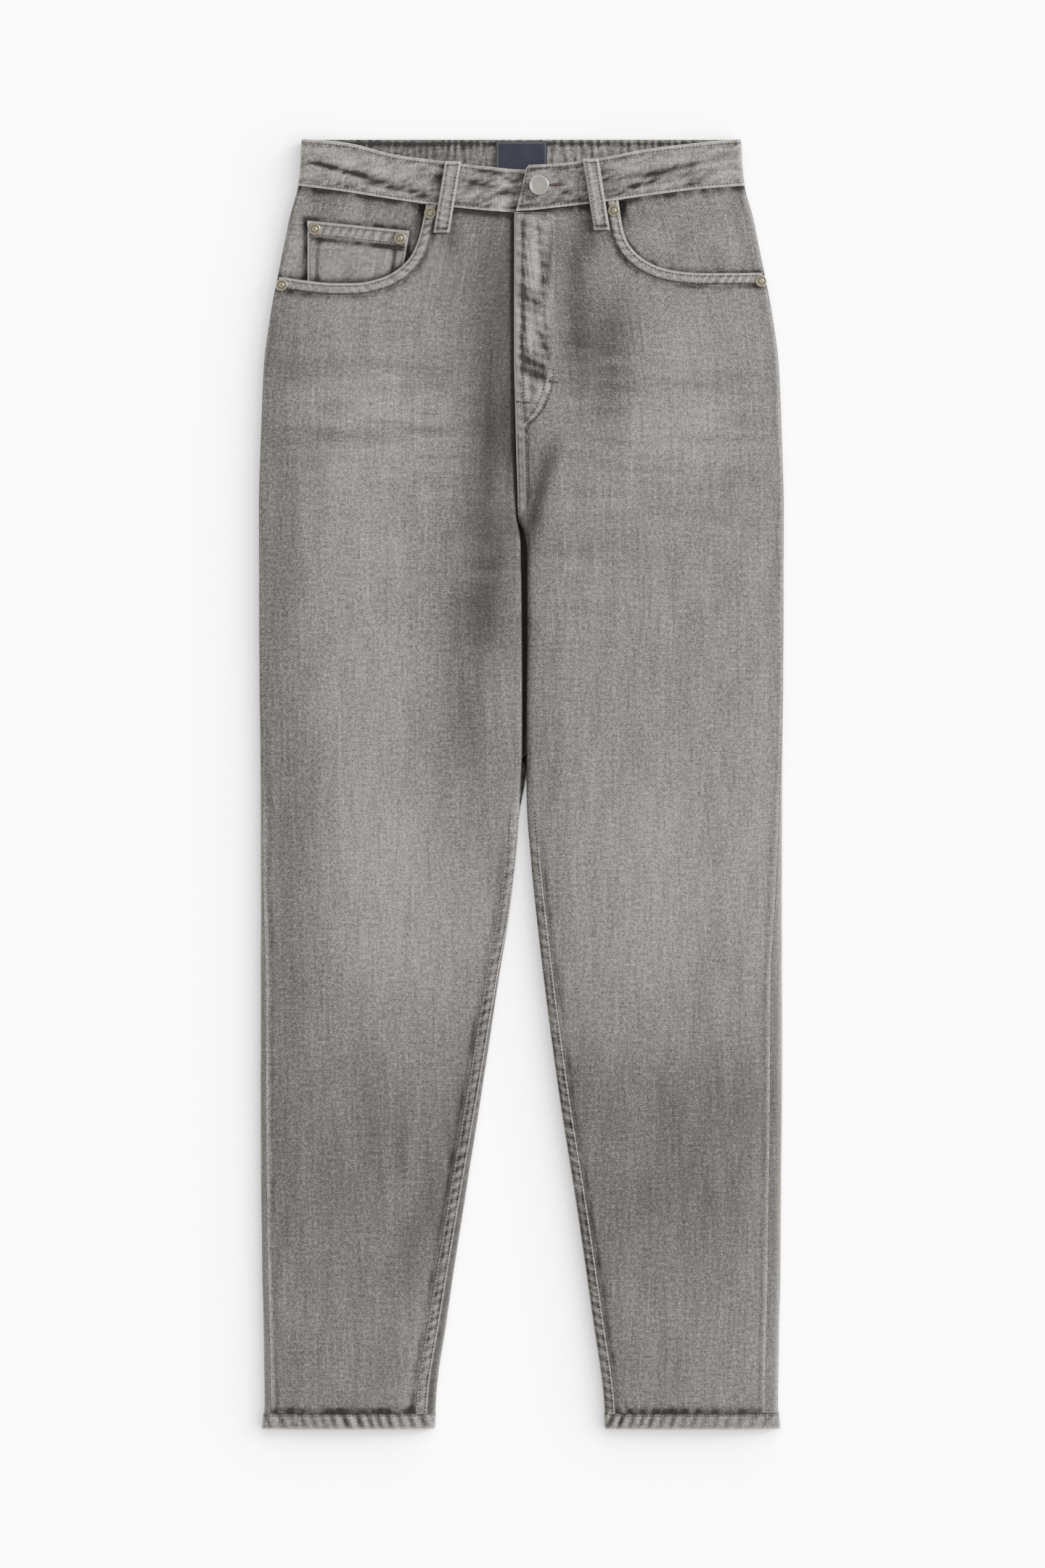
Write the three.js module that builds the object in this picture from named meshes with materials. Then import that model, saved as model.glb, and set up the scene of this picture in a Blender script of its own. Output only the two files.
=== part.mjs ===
/**
 * High-waisted mom jeans with tapered legs, laid flat on their back, at real size.
 *
 * Millimetres, +Z up, waist towards +Y. The origin lies on the table under the middle of the outline.
 * The wearer's left is +X, so the coin pocket is on the -X side. The front lies on the back, one flattened
 * tube for the hips and one for each leg, and each cut piece of cloth is a wall of its own.
 */
import * as THREE from "three";

// Driving sizes
const LENGTH = 1063.2; // back waist to hem
const END = LENGTH / 2; // the waist's back edge is at y = END and the hems are at y = -END
const CLOTH = 1.2; // thickness of one layer of denim
const GAP = 0.3; // between neighbouring pieces
const CROTCH = 207; // where the legs part
const RIGHT = -1; // the wearer's right, on the -X side
const LEFT = 1;

// The laid tube's section
const FOLD_ROUND = 2.4; // how far in from the outline the cloth is still turning over
const SHOULDER = { width: 26, drop: 1.1 }; // then the front goes on rising a little
const GROOVE = { front: 24, back: 10 }; // width of the dip on each side of the rise seam
const SEAT_LIFT = 1.5; // the seat rests on its pockets and loops, so it is this far off the table
const RISE_LENGTH = 150; // above the crotch, the groove between the legs fades out over this length
const SADDLE_LENGTH = 40; // the same for the back, where the seat settles on the table
const CROTCH_HOLD = 14; // the fold between front and back stays square this far above the crotch

// The waistband and what is on it
const BAND_BACK_HEIGHT = 38.2;
const BAND_MIDDLE = 512; // where stations along it are measured
const BAND_PROUD = 0.5; // its skin stands this far above the panels' skin
const BAND_THICK = 2.2; // two layers and their interlining
const UNDERLAP = BAND_THICK + GAP; // how far its right end drops to pass under the button tab
const LOOP_WIDTH = 12.3;
const LOOP_THICK = 1.6;
const LOOP_ARCH = 1.6; // the loop's middle stands this far off the waistband
const BUTTON = { x: 14.4, y: 492.9, radius: 8.2, height: 3.6, lip: 1.2 };
const RIVET = { radius: 4.9, height: 1.1, nipple: 1.3, nippleHeight: 1.9 };

// Doubled cloth that stands up from its panel
const HEM = { height: 12.6, raise: 0.8 };
const FELL = { width: 9.5, raise: 0.6 }; // the felled inseam
const MOUTH = { width: 9, raise: 0.7 }; // the hem of a front pocket's mouth
const FLY = { width: 35, bottom: 293, raise: 0.9 };
const RAMP = 1.2; // each of these steps down to its panel over this width

// Front pockets: a scooped mouth, with a facing under it
const FACING_DEPTH = { [RIGHT]: 3.2, [LEFT]: 2.2 }; // under the front's skin
const FACING_SETTLE = 26; // it comes up to its seams over this width
const FACING_REACH = { from: 20, over: 12, most: 22 }; // it runs on under the front, but not at the side
const FACING_INNER = 60; // its hidden inner edge, from the centre
const COIN_POCKET = {
  outer: 176.2,
  innerTop: 93.1,
  innerBottom: 101,
  topOuter: 463.9,
  topInner: 455.4,
  bottom: 398,
};
const COIN_HEM = { height: 12.6, raise: 0.7 };

// The back, which the table hides
const YOKE = { centre: 431, side: 459 };
const BACK_POCKET = { x: 98, top: 412, width: 134, side: 118, tip: 146, bottomWidth: 112 };
const BACK_LOOPS = [-100, 0, 100];
const BACK_LOOP_LENGTH = 57;

const LABEL = { width: 42, height: 33, below: 1.2, thick: 0.5 };
const ZIP = { width: 26, top: 470, bottom: 332, tape: 0.5, chainWidth: 5, chain: 1.2 };

// Half width of the whole garment at each height
const OUTLINE = [
  { y: END, out: 181.2 },
  { y: 504, out: 182.7 },
  { y: 489, out: 185.4 },
  { y: 468, out: 191.4 },
  { y: 444, out: 196.5 },
  { y: 420, out: 201.3 },
  { y: 390, out: 207 },
  { y: 348, out: 212.7 },
  { y: 300, out: 215 },
  { y: 228, out: 216.8 },
  { y: 132, out: 217 },
  { y: 36, out: 216 },
  { y: -60, out: 215.4 },
  { y: -250, out: 215.7 },
  { y: -396, out: 214.5 },
  { y: -480, out: 212.7 },
  { y: -515, out: 212.4 },
  { y: -END, out: 214.2 },
];

// Where each half ends towards the middle: the fly and rise seam, then the inside of the leg
const INNER_EDGE = [
  { y: 480, right: -6.6, left: -6.1 },
  { y: 360, right: -6.8, left: -6.3 },
  { y: 300, right: -5.6, left: -5.1 },
  { y: 250, right: -4.1, left: -3.6 },
  { y: 216, right: -2.4, left: -1.8 },
  { y: CROTCH, right: -1.2, left: 2.6 },
  { y: 190, right: -0.3, left: 4.4 },
  { y: 132, right: 0.6, left: 4.5 },
  { y: 36, right: 0.9, left: 3.9 },
  { y: -12, right: -1.2, left: 4.2 },
  { y: -60, right: -4.5, left: 7.5 },
  { y: -108, right: -10, left: 12.3 },
  { y: -156, right: -17.7, left: 17.7 },
  { y: -252, right: -32.1, left: 30.3 },
  { y: -348, right: -47.1, left: 45.3 },
  { y: -444, right: -61.5, left: 59.1 },
  { y: -504, right: -69.9, left: 67.5 },
  { y: -END, right: -71.1, left: 69.3 },
];

// Heights above the table: the front's skin, the fold at the outline, and how much each half is crowned
const HEIGHTS = [
  { y: END, crown: 9, fold: 5.2, dome: 0.2 },
  { y: 475, crown: 9, fold: 5.2, dome: 0.2 },
  { y: 432, crown: 7.2, fold: 4.1, dome: 0.6 },
  { y: 330, crown: 7, fold: 3.9, dome: 0.8 },
  { y: CROTCH, crown: 6.3, fold: 3.2, dome: 0.8 },
  { y: 60, crown: 5.5, fold: 2.4, dome: 0.8 },
  { y: -250, crown: 5.3, fold: 2.3, dome: 0.8 },
  { y: -480, crown: 5.2, fold: 2.2, dome: 0.8 },
  { y: -END, crown: 5.5, fold: 2.4, dome: 0.7 },
];

// The back is cut wider, so on the lower leg it comes round on to the front: how far, at each seam
const SEAM_SHIFT = [
  { y: 60, sideRight: 2, sideLeft: 2, inRight: 0, inLeft: 0 },
  { y: -60, sideRight: 3.4, sideLeft: 5, inRight: 0.6, inLeft: 0 },
  { y: -180, sideRight: 6, sideLeft: 11, inRight: 2.4, inLeft: 0.4 },
  { y: -400, sideRight: 6.4, sideLeft: 12, inRight: 3, inLeft: 0.6 },
  { y: -END, sideRight: 7, sideLeft: 12, inRight: 5, inLeft: 0.6 },
];

// The waistband's upper and lower edge in front, by distance from the centre
const BAND_EDGES = [
  { m: -30, topRight: 505.6, topLeft: 509, bottomRight: 470.6, bottomLeft: 471.4 },
  { m: 0, topRight: 506, topLeft: 509.2, bottomRight: 471, bottomLeft: 472.2 },
  { m: 25, topRight: 507.6, topLeft: 510.2, bottomRight: 472.4, bottomLeft: 474.6 },
  { m: 62, topRight: 512, topLeft: 514.6, bottomRight: 476, bottomLeft: 478.8 },
  { m: 103, topRight: 517.4, topLeft: 522.2, bottomRight: 481.4, bottomLeft: 484.6 },
  { m: 145, topRight: 527.6, topLeft: 527.4, bottomRight: 488, bottomLeft: 490 },
  { m: 184, topRight: END, topLeft: END, bottomRight: 493.4, bottomLeft: 493.4 },
];

// Each pocket mouth: a rounded scoop from the waistband out to the side seam
const SCOOP = {
  [RIGHT]: { inner: 77.7, top: 478, low: 411.6, power: 3.1, sideRise: 6.4 },
  [LEFT]: { inner: 79.3, top: 481, low: 419.6, power: 3.1, sideRise: 1.6 },
};

// The largest soft folds of the front: length runs along the angle, and a trough has a negative height
const FOLDS = [
  { x: -27, y: 335, angle: 91, length: 170, width: 19, height: -0.9 },
  { x: 15, y: 248, angle: 73, length: 62, width: 9, height: -0.8 },
  { x: -128, y: 499, angle: -17, length: 66, width: 5, height: -0.6 },
  { x: 98, y: 501, angle: 8, length: 40, width: 4.5, height: -0.5 },
  { x: -36, y: 494, angle: -12, length: 26, width: 4, height: -0.4 },
  { x: 118, y: 330, angle: 12, length: 110, width: 12, height: -0.5 },
  { x: -112, y: 318, angle: -8, length: 95, width: 13, height: -0.5 },
  { x: 60, y: -110, angle: 84, length: 150, width: 16, height: -0.5 },
];

const clamp = THREE.MathUtils.clamp;
const lerp = THREE.MathUtils.lerp;
const ease = (v) => THREE.MathUtils.smoothstep(v, 0, 1);
const quarter = (s) => Math.sqrt(1 - (1 - clamp(s, 0, 1)) ** 2);

/** A smooth reading of one column of a table, with no overshoot between its rows. */
function reader(table, key, column) {
  const rows = [...table].sort((a, b) => a[key] - b[key]);
  const at = rows.map((row) => row[key]);
  const value = rows.map((row) => row[column]);
  const slope = at.slice(1).map((v, i) => (value[i + 1] - value[i]) / (v - at[i]));
  const tangent = at.map((_, i) => {
    const before = slope[i - 1] ?? slope[i];
    const after = slope[i] ?? slope[i - 1];
    return before * after > 0 ? (2 * before * after) / (before + after) : 0;
  });
  return (v) => {
    const i = clamp(at.findIndex((a) => a > v) - 1, 0, at.length - 2);
    const last = v >= at[at.length - 1];
    const k = last ? at.length - 2 : i;
    const step = at[k + 1] - at[k];
    const t = clamp((v - at[k]) / step, 0, 1);
    const a = (1 + 2 * t) * (1 - t) ** 2 * value[k] + t * (1 - t) ** 2 * step * tangent[k];
    return a + t * t * (3 - 2 * t) * value[k + 1] + t * t * (t - 1) * step * tangent[k + 1];
  };
}

/** The readings of a right and a left column of a table. */
function sides(table, key, right, left) {
  return { [RIGHT]: reader(table, key, right), [LEFT]: reader(table, key, left) };
}

const outline = reader(OUTLINE, "y", "out");
const innerEdge = sides(INNER_EDGE, "y", "right", "left");
const crownAt = reader(HEIGHTS, "y", "crown");
const foldAt = reader(HEIGHTS, "y", "fold");
const domeAt = reader(HEIGHTS, "y", "dome");
const sideShift = sides(SEAM_SHIFT, "y", "sideRight", "sideLeft");
const inShift = sides(SEAM_SHIFT, "y", "inRight", "inLeft");
const bandTop = sides(BAND_EDGES, "m", "topRight", "topLeft");
const bandBottom = sides(BAND_EDGES, "m", "bottomRight", "bottomLeft");

/** The soft folds' height at a place on the front. */
function foldsAt(x, y) {
  let sum = 0;
  for (const fold of FOLDS) {
    const angle = THREE.MathUtils.degToRad(fold.angle);
    const dx = x - fold.x;
    const dy = y - fold.y;
    const along = (dx * Math.cos(angle) + dy * Math.sin(angle)) / fold.length;
    const across = (dy * Math.cos(angle) - dx * Math.sin(angle)) / fold.width;
    sum += fold.height * Math.exp(-(along ** 4) - across ** 2);
  }
  return sum;
}

/** The heights and edges of one half's section. m is the distance from the centre on that half's side. */
function sectionOf(side, y) {
  const crown = crownAt(y);
  const fold = foldAt(y);
  const above = y - CROTCH;
  return {
    inner: side * innerEdge[side](y),
    outer: outline(y),
    crown,
    fold,
    dome: domeAt(y),
    lift: SEAT_LIFT * ease((y - 212) / 36),
    open: ease(above / SADDLE_LENGTH), // 0 on a leg, 1 where the halves are joined
    innerTop: lerp(fold, crown, ease(above / RISE_LENGTH)),
    innerBottom: lerp(fold, SEAT_LIFT, ease(above / SADDLE_LENGTH)),
  };
}

/** How far the front's skin lies under its crown, at a distance s in from a folded edge. */
function foldDrop(section, s) {
  const turn = section.crown - section.fold - SHOULDER.drop;
  return turn * (1 - quarter(s / FOLD_ROUND)) + SHOULDER.drop * (1 - ease(s / SHOULDER.width));
}

/** A dip that falls away from 1 at the rise seam to 0 at its width. */
function groove(s, width) {
  return (1 - clamp(s / width, 0, 1)) ** 2;
}

/** Height of the front's skin. */
function topHeight(side, section, m, y) {
  const fromInner = m - section.inner;
  const fromOuter = section.outer - m;
  const across = clamp(fromInner / (section.outer - section.inner), 0, 1);
  const crowned = section.crown + section.dome * 4 * across * (1 - across);
  const joined = (section.crown - section.innerTop) * groove(fromInner, GROOVE.front);
  const innerDrop = lerp(foldDrop(section, fromInner), joined, section.open);
  const held = ease((y - CROTCH - CROTCH_HOLD) / RISE_LENGTH);
  const hold = ease(fromOuter / SHOULDER.width) * lerp(ease(fromInner / SHOULDER.width), 1, held);
  return crowned - foldDrop(section, fromOuter) - innerDrop + foldsAt(side * m, y) * hold;
}

/** Height of the back's skin, which faces the table. */
function bottomHeight(section, m) {
  const fromInner = m - section.inner;
  const outerTurn = 1 - quarter((section.outer - m) / FOLD_ROUND);
  const innerTurn = lerp(1 - quarter(fromInner / FOLD_ROUND), groove(fromInner, GROOVE.back), section.open);
  const outerRise = (section.fold - section.lift) * outerTurn;
  return section.lift + outerRise + Math.max(0, section.innerBottom - section.lift) * innerTurn;
}

/** The outward normal of each point of a section line that runs with the cloth's outside on its right. */
function withNormals(points) {
  return points.map((point, i) => {
    const a = points[Math.max(0, i - 1)];
    const b = points[Math.min(points.length - 1, i + 1)];
    const length = Math.hypot(b.m - a.m, b.z - a.z);
    return { ...point, normal: { m: (b.z - a.z) / length, z: (a.m - b.m) / length } };
  });
}

/** A line of section points with its arc lengths. */
function measured(points) {
  const arc = [0];
  for (let i = 1; i < points.length; i++) {
    arc.push(arc[i - 1] + Math.hypot(points[i].m - points[i - 1].m, points[i].z - points[i - 1].z));
  }
  return { points, arc, length: arc[arc.length - 1] };
}

/** Turns an end's normal level, by a weight, so that the front and the back meet square at the fold. */
function levelled(point, direction, weight) {
  const m = lerp(point.normal.m, direction, weight);
  const z = lerp(point.normal.z, 0, weight);
  const length = Math.hypot(m, z);
  point.normal = { m: m / length, z: z / length };
}

/** The distances from an edge at which its rounding is sampled, evenly in angle. */
function roundingSteps(width, count) {
  return Array.from({ length: count + 1 }, (_, i) => width * (1 - Math.cos((i / count) * (Math.PI / 2))));
}

/** Places from the outline to the inner edge, with both edges' roundings sampled finely. */
function acrossSteps(section) {
  const rounding = roundingSteps(FOLD_ROUND, 12);
  const outer = rounding.map((s) => section.outer - s);
  const inner = rounding.map((s) => section.inner + s).reverse();
  const span = section.outer - section.inner - 2 * FOLD_ROUND;
  const middle = steps(0, span, 36)
    .slice(1, -1)
    .map((s) => section.outer - FOLD_ROUND - s);
  return [...outer, ...middle, ...inner];
}

const cache = new Map();

/** One half's front line, from the outline to the inner edge, and back line, from the inner edge out. */
function linesAt(side, y) {
  const key = `${side}:${y}`;
  if (!cache.has(key)) {
    const section = sectionOf(side, y);
    const across = acrossSteps(section);
    const top = withNormals(across.map((m) => ({ m, z: topHeight(side, section, m, y) })));
    const bottom = withNormals(across.reverse().map((m) => ({ m, z: bottomHeight(section, m) })));
    const closed = 1 - ease((y - CROTCH - CROTCH_HOLD) / SADDLE_LENGTH);
    levelled(top[0], 1, 1);
    levelled(top[top.length - 1], -1, closed);
    levelled(bottom[0], -1, closed);
    levelled(bottom[bottom.length - 1], 1, 1);
    cache.set(key, { top: measured(top), bottom: measured(bottom) });
  }
  return cache.get(key);
}

/** The place at an arc length of a line: a point and its outward normal in the garment's frame. */
function placeOn(side, y, line, arc) {
  const a = clamp(arc, 0, line.length);
  let i = 0;
  while (i < line.arc.length - 2 && line.arc[i + 1] < a) i++;
  const t = (a - line.arc[i]) / (line.arc[i + 1] - line.arc[i]);
  const [p, q] = [line.points[i], line.points[i + 1]];
  const [n, o] = [p.normal, q.normal];
  return {
    point: new THREE.Vector3(side * lerp(p.m, q.m, t), y, lerp(p.z, q.z, t)),
    normal: new THREE.Vector3(side * lerp(n.m, o.m, t), 0, lerp(n.z, o.z, t)).normalize(),
  };
}

/** The arc length at which a line passes a distance m from the centre. */
function arcOf(line, m) {
  const rising = line.points[line.points.length - 1].m > line.points[0].m ? 1 : -1;
  let i = 0;
  while (i < line.points.length - 2 && rising * (line.points[i + 1].m - m) < 0) i++;
  const [p, q] = [line.points[i], line.points[i + 1]];
  return lerp(line.arc[i], line.arc[i + 1], clamp((m - p.m) / (q.m - p.m || 1), 0, 1));
}

/** The place on the front's skin at a distance m from the centre. */
function onFront(side, m, y) {
  const line = linesAt(side, y).top;
  return placeOn(side, y, line, arcOf(line, m));
}

/** The place on the back's skin at a distance m from the centre. */
function onBack(side, m, y) {
  const line = linesAt(side, y).bottom;
  return placeOn(side, y, line, arcOf(line, m));
}

/**
 * A closed wall over a grid of places. Each place has a point, a normal, and how far its outer and inner
 * faces lie from the point along the normal.
 */
function wall(name, grid, material) {
  const rows = grid.length;
  const columns = grid[0].length;
  const positions = [];
  for (const face of ["outer", "inner"]) {
    for (const row of grid) {
      for (const place of row) {
        positions.push(...place.point.clone().addScaledVector(place.normal, place[face]).toArray());
      }
    }
  }
  const count = rows * columns;
  const outer = (r, c) => r * columns + c;
  const inner = (r, c) => count + r * columns + c;
  const index = [];
  const quad = (a, b, c, d) => index.push(a, b, c, a, c, d);
  for (let r = 0; r < rows - 1; r++) {
    for (let c = 0; c < columns - 1; c++) {
      quad(outer(r, c), outer(r, c + 1), outer(r + 1, c + 1), outer(r + 1, c));
      quad(inner(r, c), inner(r + 1, c), inner(r + 1, c + 1), inner(r, c + 1));
    }
  }
  for (let c = 0; c < columns - 1; c++) {
    quad(outer(0, c), inner(0, c), inner(0, c + 1), outer(0, c + 1));
    quad(outer(rows - 1, c), outer(rows - 1, c + 1), inner(rows - 1, c + 1), inner(rows - 1, c));
  }
  for (let r = 0; r < rows - 1; r++) {
    quad(outer(r, 0), outer(r + 1, 0), inner(r + 1, 0), inner(r, 0));
    quad(outer(r, columns - 1), inner(r, columns - 1), inner(r + 1, columns - 1), outer(r + 1, columns - 1));
  }
  return meshOf(name, positions, index, material);
}

/** A named mesh from positions and an index, turned so that its faces point out. */
function meshOf(name, positions, index, material) {
  const at = (i) => new THREE.Vector3(...positions.slice(3 * i, 3 * i + 3));
  let volume = 0;
  for (let i = 0; i < index.length; i += 3) {
    volume += at(index[i]).dot(at(index[i + 1]).cross(at(index[i + 2])));
  }
  const facing = [...index];
  if (volume < 0) facing.reverse();
  const geometry = new THREE.BufferGeometry();
  geometry.setAttribute("position", new THREE.Float32BufferAttribute(positions, 3));
  geometry.setIndex(facing);
  geometry.computeVertexNormals();
  const mesh = new THREE.Mesh(geometry, material);
  mesh.name = name;
  return mesh;
}

/** A place with its outer and inner offsets, which give a wall its thickness. */
function layer(place, outer, thickness) {
  return { ...place, outer, inner: outer - thickness };
}

/** Even steps from a to b. */
function steps(a, b, count) {
  return Array.from({ length: count + 1 }, (_, i) => lerp(a, b, i / count));
}

/** 1 inside a width, stepping down to 0 over the ramp. */
function within(distance, width) {
  return 1 - clamp((distance - width) / RAMP, 0, 1);
}

/** Height of a pocket mouth's edge at a distance m from the centre, or null nearer the centre than it. */
function scoopLine(side, m) {
  const scoop = SCOOP[side];
  if (m < scoop.inner) return null;
  const reach = outline(scoop.low) - scoop.inner;
  const t = clamp((m - scoop.inner) / reach, 0, 1);
  const bowl = (1 - (1 - t) ** scoop.power) ** (1 / scoop.power);
  return lerp(scoop.top, scoop.low, bowl) + scoop.sideRise * ease((m - scoop.inner - 50) / (reach - 50));
}

/** The distance of a place from a pocket mouth's edge. */
function fromMouth(side, m, y) {
  const scoop = SCOOP[side];
  let nearest = Infinity;
  for (const t of steps(0, 1, 40)) {
    const at = scoop.inner + (outline(scoop.low) - scoop.inner) * t ** 3;
    nearest = Math.min(nearest, Math.hypot(at - m, Math.min(scoopLine(side, at), bandBottom[side](at)) - y));
  }
  return nearest;
}

/** How far the doubled parts of a front panel stand above its skin. */
function frontRaise(side, m, y, section) {
  const fromInner = m - section.inner - inShift[side](y);
  const hem = HEM.raise * within(y + END, HEM.height);
  const fell = y < CROTCH ? FELL.raise * within(fromInner, FELL.width) : 0;
  const mouth = y > SCOOP[side].low - 20 ? MOUTH.raise * within(fromMouth(side, m, y), MOUTH.width) : 0;
  let fly = 0;
  if (side === LEFT) {
    const curve = FLY.width * quarter((y - FLY.bottom) / (2 * FLY.width));
    fly = y > FLY.bottom ? FLY.raise * within(fromInner, curve) : 0;
  }
  return Math.max(hem, fell, mouth, fly);
}

/** The top end of a front panel's column: the pocket's mouth, or the waistband nearer the centre. */
function frontTop(side, share) {
  let low = 380;
  let high = 500;
  for (let i = 0; i < 40; i++) {
    const y = (low + high) / 2;
    const m = side * frontPlace(side, share, y).point.x;
    const scoop = scoopLine(side, m);
    const end = Math.min(scoop ?? Infinity, bandBottom[side](m)) - GAP;
    if (y < end) low = y;
    else high = y;
  }
  return low;
}

/** The place on the front's skin at a share of the way from the side seam to the inner edge. */
function frontPlace(side, share, y) {
  const line = linesAt(side, y).top;
  const from = sideShift[side](y) + GAP / 2;
  const to = line.length - inShift[side](y) - GAP / 2;
  return placeOn(side, y, line, lerp(from, to, share));
}

// Columns from the side seam to the inner edge: close at both roundings, the mouth's steep end and the fly
const FRONT_COLUMNS = [
  0, 0.005, 0.011, 0.024, 0.06, 0.11, 0.2, 0.3, 0.4, 0.48, 0.54, 0.58, 0.605, 0.618, 0.628, 0.66, 0.7, 0.76,
  0.815, 0.84, 0.9, 0.945, 0.955, 0.978, 0.99, 0.995, 1,
];

// Heights that the front and back panels share, so that they meet all along both leg seams
const LEG_HEIGHTS = [
  -END,
  HEM.height - END,
  HEM.height + RAMP - END,
  ...steps(-480, 140, 9),
  ...[168, 186, 198, CROTCH, 216, 230, 250, 280, 310, 335, 355, 372, 388],
];

/** A front leg panel, from hem to waistband and pocket mouth. */
function frontPanel(side, name, material) {
  const start = LEG_HEIGHTS[LEG_HEIGHTS.length - 1];
  const upper = [MOUTH.width + RAMP, MOUTH.width, 0]; // below the panel's top, which is 408 at the lowest
  const grid = FRONT_COLUMNS.map((share) => {
    const top = frontTop(side, share);
    const rise = steps(start, top - upper[0], 4).slice(1, -1);
    const heights = [...LEG_HEIGHTS, ...rise, ...upper.map((v) => top - v)];
    return heights.map((y) => {
      const place = frontPlace(side, share, y);
      const raise = frontRaise(side, side * place.point.x, y, sectionOf(side, y));
      return layer(place, raise, CLOTH + raise);
    });
  });
  return wall(name, grid, material);
}

/** The back's line at a height, from the inseam or centre seam round to the side seam. */
function backLine(side, y) {
  const { top, bottom } = linesAt(side, y);
  const inner = inShift[side](y);
  const outer = sideShift[side](y);
  const count = 5;
  const onTop = (arc) => {
    const { point, normal } = placeOn(side, y, top, arc);
    return { m: side * point.x, z: point.z, normal: { m: side * normal.x, z: normal.z } };
  };
  const head = inner > GAP ? steps(top.length - inner, top.length, count).slice(0, -1).map(onTop) : [];
  const tail = steps(0, outer, count).slice(1).map(onTop);
  const line = measured([...head, ...bottom.points, ...tail]);
  line.fold = line.arc[head.length + bottom.points.length - 1];
  return line;
}

/** A back panel or yoke: a wall between two lines across the back. */
function backPiece(side, name, heightsOf, material) {
  const grid = BACK_COLUMNS.map((column) => {
    const at = (y) => {
      const line = backLine(side, y);
      return placeOn(side, y, line, columnArc(column, line));
    };
    return heightsOf((y) => side * at(y).point.x).map((y) => layer(at(y), 0, CLOTH));
  });
  return wall(name, grid, material);
}

/** Where a column lies on a back line: from the inner end, as a share of the whole, or about the fold. */
function columnArc({ from, by }, line) {
  const start = GAP / 2;
  const end = line.length - GAP / 2;
  const arcs = {
    inner: start + by,
    whole: lerp(start, end, by),
    under: line.fold - by,
    over: lerp(line.fold, end, by),
  };
  return arcs[from];
}

const BACK_COLUMNS = [
  ...[0, 1.2, 2.4, 3.8, 5.4, 7, 9, 13, 20].map((by) => ({ from: "inner", by })),
  ...[0.3, 0.5, 0.7].map((by) => ({ from: "whole", by })),
  ...[18, 9, 6, 4.2, 2.8, 1.4, 0].map((by) => ({ from: "under", by })),
  ...[0.25, 0.6, 1].map((by) => ({ from: "over", by })),
];

const yokeSeam = (m) => lerp(YOKE.centre, YOKE.side, clamp(m / 196, 0, 1));

/** Where a column of the back meets the yoke seam. */
function yokeHeight(mAt) {
  let y = YOKE.centre;
  for (let i = 0; i < 12; i++) y = yokeSeam(mAt(y));
  return y;
}

/** A back leg panel, from hem to yoke. */
function backPanel(side, name, material) {
  const start = LEG_HEIGHTS[LEG_HEIGHTS.length - 1];
  const heights = (mAt) => [...LEG_HEIGHTS, ...steps(start, yokeHeight(mAt) - GAP / 2, 3).slice(1)];
  return backPiece(side, name, heights, material);
}

/** A back yoke, between the back panel and the waistband. */
function yoke(side, name, material) {
  const heights = (mAt) => steps(yokeHeight(mAt) + GAP / 2, END - BAND_BACK_HEIGHT - GAP, 4);
  return backPiece(side, name, heights, material);
}

/** How far a facing's skin lies under the front's skin: it comes up to its two seams. */
function facingDepth(side, m, y) {
  const fromBand = m > SCOOP[side].inner + 8 ? bandBottom[side](m) - y : Infinity;
  return FACING_DEPTH[side] * ease(Math.min(outline(y) - m, fromBand) / FACING_SETTLE);
}

/** A front pocket's facing, which shows in the mouth and runs on under the front panel. */
function facing(side, name, material) {
  const shares = [0, 0.02, 0.045, 0.08, 0.12, 0.17, 0.24, 0.4, 0.55, 0.7, 0.85, 1];
  const at = (share, y) => {
    const line = linesAt(side, y).top;
    return placeOn(side, y, line, lerp(sideShift[side](y) + GAP / 2, arcOf(line, FACING_INNER), share));
  };
  const grid = shares.map((share) => {
    const m = side * at(share, 440).point.x;
    const mouth = Math.min(scoopLine(side, m) ?? Infinity, 460);
    const fromSide = (outline(mouth) - m - FACING_REACH.from) / FACING_REACH.over;
    const under = FACING_REACH.most * ease(fromSide);
    const low = mouth - under + GAP * (under < 1 ? 1 : 0);
    const high = meeting(bandBottom[side], (y) => side * at(share, y).point.x) - GAP;
    return steps(low, high, 7).map((y) => {
      const place = at(share, y);
      return layer(place, -facingDepth(side, side * place.point.x, y), CLOTH);
    });
  });
  return wall(name, grid, material);
}

/** The coin pocket, a patch on the right facing that runs on under the front panel. */
function coinPocket(material) {
  const p = COIN_POCKET;
  const grid = steps(0, 1, 7).map((across) => {
    const top = lerp(p.topOuter, p.topInner, across);
    const heights = [0, COIN_HEM.height, COIN_HEM.height + RAMP, 30, 45, top - p.bottom].map((v) => top - v);
    return heights.map((y, row) => {
      const down = (top - y) / (top - p.bottom);
      const m = lerp(p.outer, lerp(p.innerTop, p.innerBottom, down), across);
      const raise = row < 2 ? COIN_HEM.raise : 0;
      const depth = facingDepth(RIGHT, m, y) - CLOTH - GAP;
      return layer(onFront(RIGHT, m, y), raise - depth, CLOTH + raise);
    });
  });
  return wall("coin_pocket", grid, material);
}

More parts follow.
